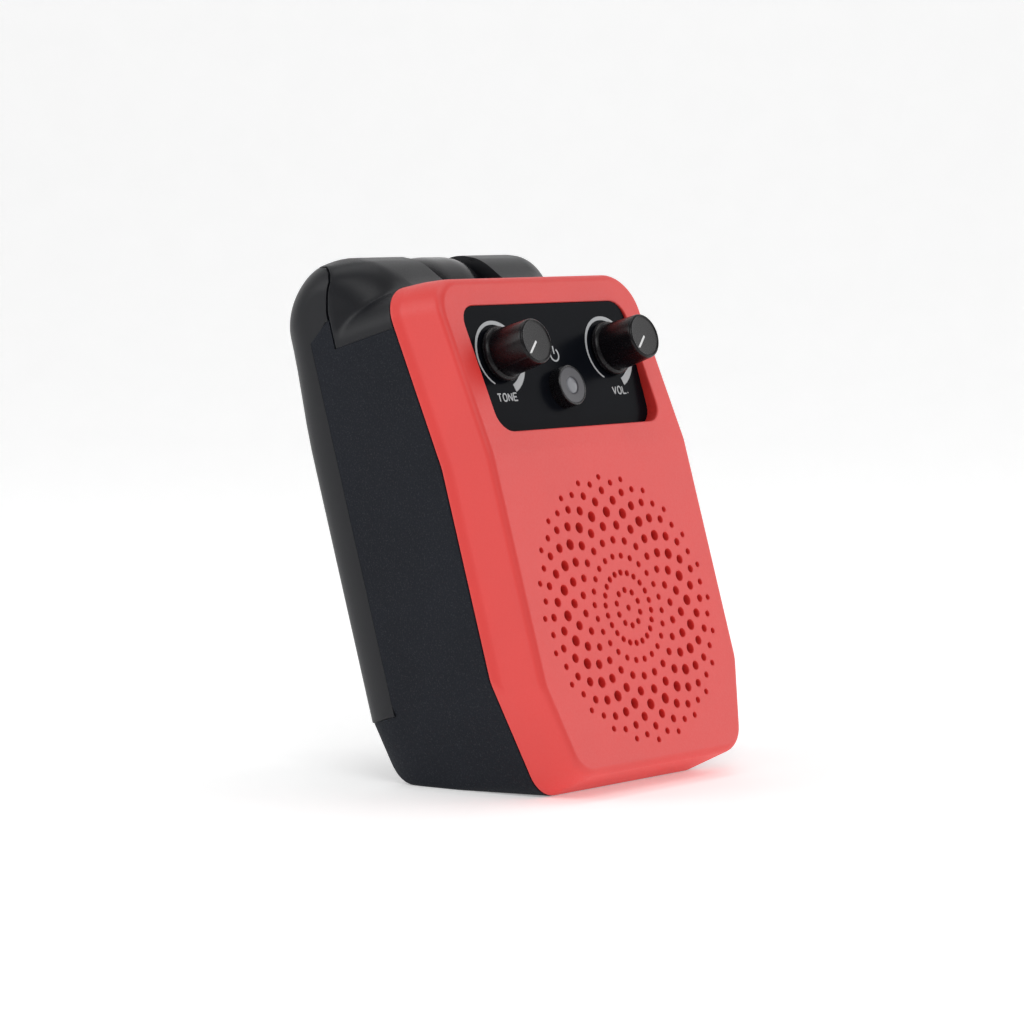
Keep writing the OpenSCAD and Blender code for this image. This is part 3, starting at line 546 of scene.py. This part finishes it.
def bridge_field(x, d, u, ahead):
    """Below zero inside the bridge: a slab with rounded corners that sweeps up to the barrel,
    whose ends draw in ahead of the joint with the rear cover."""
    qx, qu = abs(x) - (HALF_W - 11), u - (TOP_U - 11)
    slab = math.hypot(max(qx, 0), max(qu, 0)) + min(max(qx, qu), 0) - 11
    rho = math.hypot(d - PIN_D, u - PIN_U)
    half = HALF_W - 0.44 * min(14.0, max(0.0, ahead - 1.4))
    barrel = HUMP_END * (math.hypot(max((abs(x) - half + HUMP_END_X) / HUMP_END_X, 0),
                                    max((rho - HUMP_R + HUMP_END) / HUMP_END, 0)) - 1)
    k = 0.8 + 8.2 * ramp(42 - abs(x), 0, 14)
    return max(smooth_min(slab, barrel, k), abs(x) - HALF_W)


def ray_length(x0, u0, dx, du, depth_at, ahead, far=46.0):
    """Distance from a start point to the outermost crossing of the bridge's surface."""
    step = far
    while step > 0.5:
        x, u = x0 + dx * step, u0 + du * step
        if bridge_field(x, depth_at(u), u, ahead) < 0:
            break
        step -= 0.6
    low, high = step, step + 0.6
    for _ in range(18):
        mid = (low + high) / 2
        x, u = x0 + dx * mid, u0 + du * mid
        if bridge_field(x, depth_at(u), u, ahead) < 0:
            low = mid
        else:
            high = mid
    return low


SEAM = [(0, 0.3), (97, 0.1), (103, 0), (107, -1.2), (111.5, -3.0), (114, -2.5), (116.4, -0.5),
        (117.2, 2.0), (117.8, 6.0), (118.6, 9.0), (140, 9.0)]


def seam_shift(u):
    """How far the joint between bridge and rear cover lies behind SPLIT_D at a height."""
    for (u0, s0), (u1, s1) in zip(SEAM, SEAM[1:]):
        if u <= u1:
            return s0 + (s1 - s0) * (u - u0) / (u1 - u0)
    return SEAM[-1][1]


def bridge_profile(depth, inset):
    """Profile across the bridge at a depth, from its right lower edge to its left one."""
    fade = min(1.0, max(0.0, 1 - (depth - 23.04) / 9))
    rear = min(1.0, max(0.0, (depth - 33) / (SPLIT_D - 33)))
    ahead = SPLIT_D - depth

    def depth_at(u):
        return depth + (bend(u) - bend(BRIDGE_U)) * fade + seam_shift(u) * rear

    right = []
    for k in range(37):
        a = math.radians(2.5 * k)
        length = ray_length(30, BRIDGE_U, math.cos(a), math.sin(a), depth_at, ahead) - inset
        right.append((30 + length * math.cos(a), BRIDGE_U + length * math.sin(a)))
    for x in (26, 22, 18, 11, 4):
        right.append((x, BRIDGE_U + ray_length(x, BRIDGE_U, 0, 1, depth_at, ahead) - inset))
    return [(x, depth_at(u), u) for x, u in mirrored(right)]


def top_bridge(material):
    front = JOINT_D + bend(BRIDGE_U)
    stations = [(front + 0.12, 0.3), (front + 0.22, 0.1), (front + 0.5, 0)]
    stations += [(front + 1.1 + 1.05 * k, 0) for k in range(20)]
    edge = 1.2
    stations += [(SPLIT_D - 0.06 - edge + along, inset) for along, inset in quarter(edge)]
    outer = [bridge_profile(d, inset) for d, inset in stations]
    inner = [bridge_profile(d, WALL) for d, _ in stations]
    bridge = tube("bridge_shell", outer, inner)
    ridge = [(row[len(row) // 2 - 1][1], row[len(row) // 2 - 1][2] - 1.0) for row in outer[1:-1]]
    side_view = [(ridge[0][0], BRIDGE_U)] + ridge + [(ridge[-1][0], BRIDGE_U)]
    combine(bridge, prism("cheeks", side_view, -CHANNEL - WALL, CHANNEL + WALL, along="x"),
            "UNION")
    barrel = [(0, -CHANNEL), (18.1, -CHANNEL), (18.1, CHANNEL), (0, CHANNEL)]
    place = Matrix.Translation((0, PIN_D, PIN_U)) @ turn(90, "Y")
    combine(bridge, lathe("channel", barrel, 128, place))
    above = [(20, TOP_U + 0.1), (60, TOP_U + 0.1), (60, 140), (20, 140)]
    combine(bridge, prism("gap", above, -CHANNEL, CHANNEL, along="x"))

    def at_channel(edge_):
        ends = [v.co for v in edge_.verts]
        normals = sorted(abs(face.normal.x) for face in edge_.link_faces)
        return (all(abs(abs(p.x) - CHANNEL) < 0.02 for p in ends)
                and normals[0] < 0.5 and normals[1] > 0.9
                and all(p.z > TOP_U + 0.6 for p in ends)
                and all(math.hypot(p.y - PIN_D, p.z - PIN_U) > HUMP_R - 0.6 for p in ends))
    soften(bridge, at_channel, 0.8)
    return settle(bridge, "body", material, ["top_bridge"], SLAB)

# ---------------------------------------------------------------- belt clip


def clip_stations():
    """(outer point, inner point, half width) from the neck over the pin down to the tip."""
    rows = []
    for theta in range(168, 23, -9):
        a = math.radians(theta)
        grow = ramp(168 - theta, 0, 70)
        r_out, r_in = 15.6 + 3.2 * grow, 13.4 + 2.6 * grow
        rows.append(((PIN_D + r_out * math.cos(a), PIN_U + r_out * math.sin(a)),
                     (PIN_D + r_in * math.cos(a), PIN_U + r_in * math.sin(a)), 13.8))
    rows += [((66.8, 104.2), (62.6, 101.2), 13.8), ((70.6, 101.2), (66.6, 97.6), 13.8),
             ((73.7, 97.4), (70.6, 94.6), 14.2), ((75.1, 93.4), (72.5, 91.4), 15.0),
             ((75.5, 88.5), (73.1, 87.8), 16.2), ((75.5, 80.0), (73.1, 79.8), 18.2),
             ((75.5, 70.0), (73.1, 70.0), 19.0), ((75.5, 52.0), (73.1, 52.0), 19.0),
             ((75.5, 37.0), (73.1, 37.0), 19.0), ((75.3, 31.5), (72.8, 32.6), 18.9),
             ((74.6, 27.0), (71.8, 29.2), 18.2), ((73.6, 23.2), (70.2, 26.6), 16.8),
             ((72.3, 20.4), (68.7, 24.8), 14.6), ((70.8, 19.0), (67.8, 23.4), 12.0),
             ((69.4, 18.9), (67.4, 22.0), 9.5)]
    return rows


def through(points, per_span):
    """A smooth curve of tuples through the given tuples (Catmull-Rom)."""
    out = []
    for i in range(len(points) - 1):
        p0, p1, p2 = points[max(i - 1, 0)], points[i], points[i + 1]
        p3 = points[min(i + 2, len(points) - 1)]
        for s in range(per_span):
            t = s / per_span
            out.append(tuple(0.5 * (2 * b + (c - a) * t + (2 * a - 5 * b + 4 * c - d) * t * t
                                    + (3 * b - a - 3 * c + d) * t ** 3)
                             for a, b, c, d in zip(p0, p1, p2, p3)))
    return out + [points[-1]]


def clip_section(half, thick, draw, crown):
    """Rounded band across the clip; crown drops its ends as on the spool-shaped neck."""
    r = min(0.9, thick * 0.45)
    band = rounded([(-half + draw, draw / 2), (half - draw, draw / 2),
                    (half - draw, thick - draw / 2), (-half + draw, thick - draw / 2)],
                   [min(r, 0.6), min(r, 0.6), r, r], 4)
    lower = [(-half + 2 + (2 * half - 4) * k / 14, draw / 2) for k in range(15)]
    upper = [(half - 2 - (2 * half - 4) * k / 14, thick - draw / 2) for k in range(15)]
    ring = band[:5] + lower + band[5:15] + upper + band[15:]
    flat = 3.5
    return [(x, h - crown * (1 - math.sqrt(1 - min(1, max(0, abs(x) - flat) / (half + 1.2 - flat))
                                           ** 2))) for x, h in ring]


def belt_clip(material):
    flat = [(o[0], o[1], i[0], i[1], w) for o, i, w in clip_stations()]
    loops = []
    rows = through(flat, 3)
    for index, (od, ou, nd, nu, half) in enumerate(rows):
        thick = math.hypot(od - nd, ou - nu)
        end = min(index, len(rows) - 1 - index)
        draw = (0.7, 0.2, 0)[min(end, 2)]
        section = clip_section(half, thick, draw, 4.6 * (1 - ramp(index, 42, 60)))
        loops.append([(x, nd + (od - nd) * h / thick, nu + (ou - nu) * h / thick)
                      for x, h in section])
    points, faces = skin(loops)
    n = len(loops[0])
    clip = build("clip_spring_arm", points,
                 faces + [tuple(range(n)), tuple(range(len(points) - n, len(points)))])
    eyes = []
    for x in (-12.3, 12.3):
        ring = [(1.56, -1.5), (4.0, -1.5), (4.3, -1.2), (4.3, 1.2), (4.0, 1.5), (1.56, 1.5)]
        eyes.append(lathe("eye", ring, 40, Matrix.Translation((x, PIN_D, PIN_U)) @ turn(90, "Y")))
        rib = rounded([(-1.4, 3.6), (1.4, 3.6), (1.4, 15.9), (-1.4, 15.9)], [0.3] * 4, 3)
        for angle in (0, -90):
            web = prism("rib", rib, x - 1.4, x + 1.4, along="x")
            web.data.transform(Matrix.Translation((0, PIN_D, PIN_U)) @ turn(angle, "X"))
            eyes.append(web)
    for part in eyes:
        combine(clip, part, "UNION")
    return settle(clip, "clip", material, ["belt_clip"], SLAB)

# ---------------------------------------------------------------- knobs and button


def knob(side, x, material, mark):
    body = side + "_control"
    profile = [(0, 14.55), (5.4, 14.55), (5.75, 14.62), (5.95, 14.82), (6.15, 14.9),
               (6.35, 14.84), (6.62, 14.6), (6.74, 14.3), (6.8, 13.8), (7.02, 9), (7.28, 3.5),
               (7.34, 3.15), (7.3, 2.95), (7.55, 2.8), (7.95, 2.5), (8.14, 2.25), (8.2, 2.0),
               (8.2, 1.1), (8.12, 0.88), (7.9, 0.8), (6.6, 0.8), (6.6, 4.4), (3.02, 4.4),
               (3.02, 12.2), (0, 12.2)]
    cap = lathe(side + "_cap", profile, 128)
    ridge = [(14.86, 6.1), (14.8, 6.5), (14.3, 6.78), (13.8, 6.86), (9, 7.1), (3.3, 7.42),
             (2.9, 7.5), (2.6, 7.95), (2.3, 8.2), (1.2, 8.26), (0.9, 8.1)]
    loops = [[(-0.2, -r + 0.7, h), (0.2, -r + 0.7, h), (0.2, -r + 0.02, h), (0.08, -r - 0.1, h),
              (-0.08, -r - 0.1, h), (-0.2, -r + 0.02, h)] for h, r in ridge]
    points, faces = skin(loops)
    flank = build("flank", points, faces + [tuple(range(6)), tuple(range(60, 66))])
    combine(cap, flank, "UNION")
    settle(cap, body, material, [side + "_knob"], knob_frame(x))
    line = rounded([(-0.34, -0.1), (-0.34, -5.6), (0.34, -5.6), (0.34, -0.1)], [0.3] * 4, 4)
    points, faces = skin([[(a, b, h) for a, b in line] for h in (14.3, 14.6, 14.64)])
    n = len(line)
    top = build("line", points,
                faces + [tuple(range(n)), tuple(range(len(points) - n, len(points)))])
    settle(top, body, mark, [side + "_pointer"], knob_frame(x))


def power_button(black, grey, lens):
    ring = [(0, -3.2), (7.7, -3.2), (7.7, -1.8), (6.1, -1.8), (6.1, 3.4), (6.02, 3.7),
            (5.8, 3.88), (5.62, 3.9), (5.52, 3.82), (5.5, 3.4), (2.5, 3.4), (2.5, 1.9), (0, 1.9)]
    settle(lathe("button_body", ring, 96), "button", black, ["power_button"],
           BUTTON)
    face = [(2.52, 3.41), (5.48, 3.41), (5.48, 3.72), (5.34, 3.82), (3.0, 3.74), (2.7, 3.68),
            (2.55, 3.56)]
    settle(lathe("button_face", face, 96), "button", grey, ["button_cap"], BUTTON)
    dome = [(0, 1.92), (2.48, 1.92), (2.48, 3.46), (2.3, 3.6), (1.7, 3.7), (0.9, 3.76),
            (0, 3.78)]
    settle(lathe("button_window", dome, 64), "button", lens, ["button_lens"],
           BUTTON)

# ---------------------------------------------------------------- marks on the control plate

MARK_T = 0.05
DIAL_Z = -15.3                   # middle of the printed dials, from the window's top edge


def flat_mark(outline):
    """A thin raised print on the control plate."""
    return prism("mark", outline, -MARK_T, 0.02)


def stroke(points, width=0.3, closed=False):
    """Outline of a line of constant width through points in the plate's plane."""
    left, right = [], []
    n = len(points)
    for i, p in enumerate(points):
        a = points[i - 1] if i > 0 else (points[-1] if closed else p)
        b = points[(i + 1) % n] if i < n - 1 or closed else p
        dx, dz = b[0] - a[0], b[1] - a[1]
        size = math.hypot(dx, dz) or 1
        nx, nz = -dz / size * width / 2, dx / size * width / 2
        left.append((p[0] + nx, p[1] + nz))
        right.append((p[0] - nx, p[1] - nz))
    return left + right[::-1]


def arc(cx, cz, radius, start, end, steps=24):
    """Points of an arc; angles are clockwise from straight down as seen from the front."""
    return [(cx - radius * math.sin(math.radians(start + (end - start) * i / steps)),
             cz - radius * math.cos(math.radians(start + (end - start) * i / steps)))
            for i in range(steps + 1)]


def dial(x):
    """A crescent that widens clockwise round a knob, and the wedge at its loud end."""
    start, end, steps = 30, 340, 64
    inner = arc(x, DIAL_Z, 9.35, start, end, steps)
    outer = []
    for i in range(steps + 1):
        a = start + (end - start) * i / steps
        width = 0.4 + 1.0 * min(1, i / 40) + 1.0 * max(0, (i - 40) / 24)
        outer += arc(x, DIAL_Z, 9.35 + width, a, a, 1)[:1]
    return [flat_mark(inner + outer[::-1])]


LETTERS = {
    "T": [[(0, 1), (1, 1)], [(0.5, 1), (0.5, 0)]],
    "O": [[(0.25, 0), (0.75, 0), (1, 0.28), (1, 0.72), (0.75, 1), (0.25, 1), (0, 0.72),
           (0, 0.28), (0.25, 0)]],
    "N": [[(0, 0), (0, 1), (1, 0), (1, 1)]],
    "E": [[(1, 0), (0, 0), (0, 1), (1, 1)], [(0, 0.5), (0.85, 0.5)]],
    "V": [[(0, 1), (0.5, 0), (1, 1)]],
    "L": [[(0, 1), (0, 0), (0.95, 0)]],
    ".": [[(0.0, 0.0), (0.0, 0.14)]],
}


def label(word, cx, low, high, wide, gap):
    """A generic control label in plain capitals."""
    width = sum(0.2 if c == "." else wide for c in word) + gap * (len(word) - 1)
    x = cx - width / 2
    parts = []
    for letter in word:
        span = 0.2 if letter == "." else wide
        for line in LETTERS[letter]:
            path = [(x + a * span, low + b * (high - low)) for a, b in line]
            parts += [flat_mark(stroke([p, q], 0.42)) for p, q in zip(path, path[1:])]
        x += span + gap
    return parts


def plate_marks(material):
    parts = dial(-KNOB_X) + dial(KNOB_X)
    parts += label("TONE", -26.6, -28.9, -26.7, 1.6, 0.8)
    parts += label("VOL.", 27.3, -28.9, -26.7, 1.6, 0.75)
    parts.append(flat_mark(stroke(arc(0, -15.9, 1.9, 216, 504, 32), 0.5)))
    parts.append(flat_mark(stroke([(0, -15.6), (0, -13.2)], 0.5)))
    marks = join("plate_marks", parts)
    return settle(marks, "body", material, (), PLATE)

# ---------------------------------------------------------------- materials


def linear(rgb):
    return tuple(((c / 255 + 0.055) / 1.055) ** 2.4 if c > 10 else c / 255 / 12.92
                 for c in rgb) + (1.0,)


def material(name, colour, roughness=0.4, grain=2200.0, bump=0.05, mottle=0.06, glint=0.0,
             glint_scale=3500.0, metallic=0.0, specular=0.5, coat=0.0, stretch=(1, 1, 1)):
    """A moulded or plated finish: its tone drifts slowly, with a fine grain in the surface and in
    the gloss, and, where asked for, tiny lighter points painted into the colour: painted glints
    that stand for the sparkle of a grained surface."""
    mat = bpy.data.materials.new(name)
    mat.use_nodes = True
    nodes, links = mat.node_tree.nodes, mat.node_tree.links
    shader = nodes["Principled BSDF"]
    place = nodes.new("ShaderNodeTexCoord")
    scaled = nodes.new("ShaderNodeMapping")
    scaled.inputs["Scale"].default_value = stretch
    links.new(place.outputs["Object"], scaled.inputs["Vector"])

    def noise(scale, detail, rough=0.5):
        node = nodes.new("ShaderNodeTexNoise")
        node.inputs["Scale"].default_value = scale
        node.inputs["Detail"].default_value = detail
        node.inputs["Roughness"].default_value = rough
        links.new(scaled.outputs["Vector"], node.inputs["Vector"])
        return node

    slow, fine = noise(45.0, 3), noise(grain, 2)
    tone = nodes.new("ShaderNodeMapRange")
    tone.inputs["From Min"].default_value = 0.3
    tone.inputs["From Max"].default_value = 0.7
    tone.inputs["To Min"].default_value = 1 - mottle
    tone.inputs["To Max"].default_value = 1 + mottle
    links.new(slow.outputs["Fac"], tone.inputs["Value"])
    base = nodes.new("ShaderNodeVectorMath")
    base.operation = "SCALE"
    base.inputs[0].default_value = linear(colour)[:3]
    links.new(tone.outputs["Result"], base.inputs["Scale"])
    last = base.outputs["Vector"]
    # Painted glints: tiny lighter points added to the base colour for the sparkle of a grained
    # surface.
    if glint:
        points = noise(glint_scale, 1)
        glint_mask = nodes.new("ShaderNodeMapRange")
        glint_mask.inputs["From Min"].default_value = 0.56
        glint_mask.inputs["From Max"].default_value = 0.74
        glint_mask.inputs["To Min"].default_value = 0.0
        glint_mask.inputs["To Max"].default_value = glint
        links.new(points.outputs["Fac"], glint_mask.inputs["Value"])
        add = nodes.new("ShaderNodeVectorMath")
        add.operation = "ADD"
        links.new(last, add.inputs[0])
        links.new(glint_mask.outputs["Result"], add.inputs[1])
        last = add.outputs["Vector"]
    links.new(last, shader.inputs["Base Color"])
    gloss = nodes.new("ShaderNodeMapRange")
    gloss.inputs["From Min"].default_value = 0.3
    gloss.inputs["From Max"].default_value = 0.7
    gloss.inputs["To Min"].default_value = max(0.02, roughness - 0.05)
    gloss.inputs["To Max"].default_value = min(1.0, roughness + 0.05)
    links.new(fine.outputs["Fac"], gloss.inputs["Value"])
    links.new(gloss.outputs["Result"], shader.inputs["Roughness"])
    relief = nodes.new("ShaderNodeBump")
    relief.inputs["Strength"].default_value = bump
    relief.inputs["Distance"].default_value = 0.0002
    links.new(fine.outputs["Fac"], relief.inputs["Height"])
    links.new(relief.outputs["Normal"], shader.inputs["Normal"])
    shader.inputs["Metallic"].default_value = metallic
    shader.inputs["Specular IOR Level"].default_value = specular
    shader.inputs["Coat Weight"].default_value = coat
    shader.inputs["Coat Roughness"].default_value = 0.2
    return mat


RED = material("red_plastic", (230, 50, 44), 0.5, 1500, 0.12, 0.02, specular=0.9)
# The housing's tiny lighter points are painted glints that stand for the sparkle of its grain.
TEXTURED = material("textured_plastic", (26, 29, 36), 0.6, 1500, 0.5, 0.08, glint=0.014,
                    glint_scale=2300, specular=0.14)
SATIN = material("satin_plastic", (23, 24, 28), 0.4, 3000, 0.08, 0.05, specular=0.3)
CLIP = material("clip_plastic", (14, 13, 18), 0.22, 3000, 0.02, 0.05, specular=0.35)
GLOSS = material("plate_gloss", (15, 17, 22), 0.22, 4000, 0.01, 0.04, specular=0.03)
KNOB = material("knob_plastic", (12, 10, 13), 0.28, 3200, 0.06, 0.05, specular=0.28)
WHITE = material("white_print", (228, 228, 228), 0.5, 3500, 0.02, 0.03)
PRINT = material("grey_print", (190, 192, 194), 0.5, 3500, 0.02, 0.03)
BUTTON_BLACK = material("button_black", (18, 18, 20), 0.26, 3000, 0.03, 0.05)
BUTTON_GREY = material("button_grey", (66, 65, 70), 0.36, 3500, 0.06, 0.04)
LENS = material("button_lens", (122, 123, 128), 0.2, 3000, 0.02, 0.03)
CHROME = material("plated_metal", (196, 196, 198), 0.22, 2500, 0.03, 0.03, metallic=1.0)
STEEL = material("pressed_steel", (120, 122, 126), 0.4, 1500, 0.06, 0.05, metallic=1.0)
SPRING = material("spring_steel", (140, 140, 145), 0.3, 3000, 0.04, 0.04, metallic=1.0,
                  stretch=(4, 1, 1))
SCREW = material("black_screw", (32, 32, 34), 0.34, 3000, 0.05, 0.05, metallic=0.7)
FERRITE = material("ferrite", (38, 38, 40), 0.7, 1200, 0.3, 0.12)
WINDING = material("copper_winding", (178, 104, 60), 0.35, 900, 0.2, 0.05, metallic=0.8,
                   stretch=(1, 1, 6))
BOARD = material("circuit_board", (24, 84, 52), 0.36, 800, 0.08, 0.1, coat=0.4)
INNER_BLACK = material("inner_black", (26, 26, 28), 0.45, 1500, 0.06, 0.06)
INNER = material("inner_plastic", (58, 58, 60), 0.5, 1500, 0.08, 0.06)
CABLE = material("cable_cover", (150, 30, 28), 0.45, 1200, 0.06, 0.05)
FOAM = material("foam_ring", (32, 32, 33), 0.95, 900, 0.8, 0.15)
SURROUND = material("rubber_surround", (24, 24, 25), 0.6, 1500, 0.08, 0.06)
CONE = material("cone_paper", (30, 29, 28), 0.85, 700, 0.5, 0.15, stretch=(1, 1, 3))
SPIDER = material("spider_cloth", (176, 128, 62), 0.9, 1100, 0.6, 0.12)
TERMINAL = material("terminal_board", (170, 130, 84), 0.6, 900, 0.12, 0.08)
CELL = material("cell_wrap", (52, 92, 150), 0.3, 1800, 0.03, 0.04, coat=0.3)

front_cover(RED)
rear_housing(TEXTURED)
rear_cover(SATIN)
top_bridge(SATIN)
belt_clip(CLIP)
knob("tone", -KNOB_X, KNOB, WHITE)
knob("volume", KNOB_X, KNOB, WHITE)
power_button(BUTTON_BLACK, BUTTON_GREY, LENS)
plate_marks(PRINT)

CARRIED = {
    "control_plate": GLOSS, "tone_shaft": CHROME, "volume_shaft": CHROME, "tone_pot": STEEL,
    "volume_pot": STEEL, "pot_nuts": CHROME, "pot_washers": CHROME, "switch_plunger": INNER,
    "power_switch": STEEL, "control_board": BOARD, "main_board": BOARD,
    "board_parts": INNER_BLACK, "ribbon_cable": CABLE, "speaker_gasket": FOAM,
    "speaker_frame": STEEL, "speaker_surround": SURROUND, "speaker_cone": CONE,
    "speaker_dust_cap": CONE, "speaker_voice_coil": WINDING, "speaker_spider": SPIDER,
    "speaker_magnet": FERRITE, "speaker_plates": STEEL, "speaker_terminals": TERMINAL,
    "speaker_screws": SCREW, "speaker_leads": CABLE, "battery_cell": CELL,
    "battery_holder": INNER, "battery_contacts": SPRING, "input_jack": INNER_BLACK,
    "jack_nut": CHROME, "phones_jack": INNER_BLACK, "usb_socket": STEEL, "hinge_pin": CHROME,
    "clip_spring": SPRING, "front_screws": SCREW, "rear_screws": SCREW,
}
for node, finish_ in CARRIED.items():
    holder = frame["nodes"][node]
    if not holder.material_slots:
        holder.data.materials.append(finish_)
    for place_ in holder.material_slots:
        place_.material = finish_

# ---------------------------------------------------------------- floor, light and camera

floor_z = cad_box[0][2]


def backdrop():
    """A pale floor that curves up into a wall behind the object."""
    rows = [(-3.0, 0.0), (-0.5, 0.0), (1.2, 0.0)]
    rows += [(1.2 + 0.8 * math.sin(math.radians(a)), 0.8 - 0.8 * math.cos(math.radians(a)))
             for a in range(10, 91, 10)]
    rows += [(2.0, 3.5)]
    loops = [[(x, y, floor_z + z) for x in (-4.0, -2.0, 0.0, 2.0, 4.0)] for y, z in rows]
    points, faces = skin(loops, closed=False)
    obj = build("backdrop", points, faces)
    obj.data.transform(turn(-51.4, "Z"))
    obj.data.shade_smooth()
    paper = material("backdrop_paper", (250, 250, 250), 0.9, 300, 0.02, 0.01, specular=0.1)
    glow = paper.node_tree.nodes["Principled BSDF"]
    glow.inputs["Emission Color"].default_value = (1, 1, 1, 1)
    glow.inputs["Emission Strength"].default_value = 0.28
    obj.data.materials.append(paper)


def softbox(name, where, size, power, target=(0, 0, 0.07)):
    light = bpy.data.lights.new(name, "AREA")
    light.shape = "RECTANGLE"
    light.size, light.size_y = size
    light.energy = power
    obj = bpy.data.objects.new(name, light)
    bpy.context.scene.collection.objects.link(obj)
    obj.location = where
    obj.rotation_euler = (Vector(target) - Vector(where)).to_track_quat("-Z", "Y").to_euler()


backdrop()
world = bpy.data.worlds.new("studio")
world.use_nodes = True
world.node_tree.nodes["Background"].inputs["Color"].default_value = (1, 1, 1, 1)
world.node_tree.nodes["Background"].inputs["Strength"].default_value = 0.34
bpy.context.scene.world = world
bpy.context.scene.view_settings.view_transform = "Standard"

softbox("key", (-0.9, -1.0, 1.35), (0.9, 0.8), 6.5)
softbox("side", (-1.25, 0.95, 0.85), (1.0, 1.0), 7)
softbox("front", (1.2, -0.9, 0.55), (1.2, 1.2), 6)
softbox("top", (0.1, 0.2, 1.6), (1.2, 0.8), 4.5)

camera = bpy.data.cameras.new("camera")
camera.lens, camera.sensor_width = 141.83, 36
eye = Vector((-0.935, -0.745012, 0.1734))
view_forward, view_up = Vector((0.7794, 0.6214, -0.0799)), Vector((0.0625, 0.0498, 0.9968))
right_hand = view_forward.cross(view_up).normalized()
view_up = right_hand.cross(view_forward).normalized()
seat = Matrix((right_hand, view_up, -view_forward.normalized())).transposed().to_4x4()
camera_obj = bpy.data.objects.new("camera", camera)
camera_obj.matrix_world = Matrix.Translation(eye) @ seat
bpy.context.scene.collection.objects.link(camera_obj)
bpy.context.scene.camera = camera_obj

bpy.context.view_layer.update()
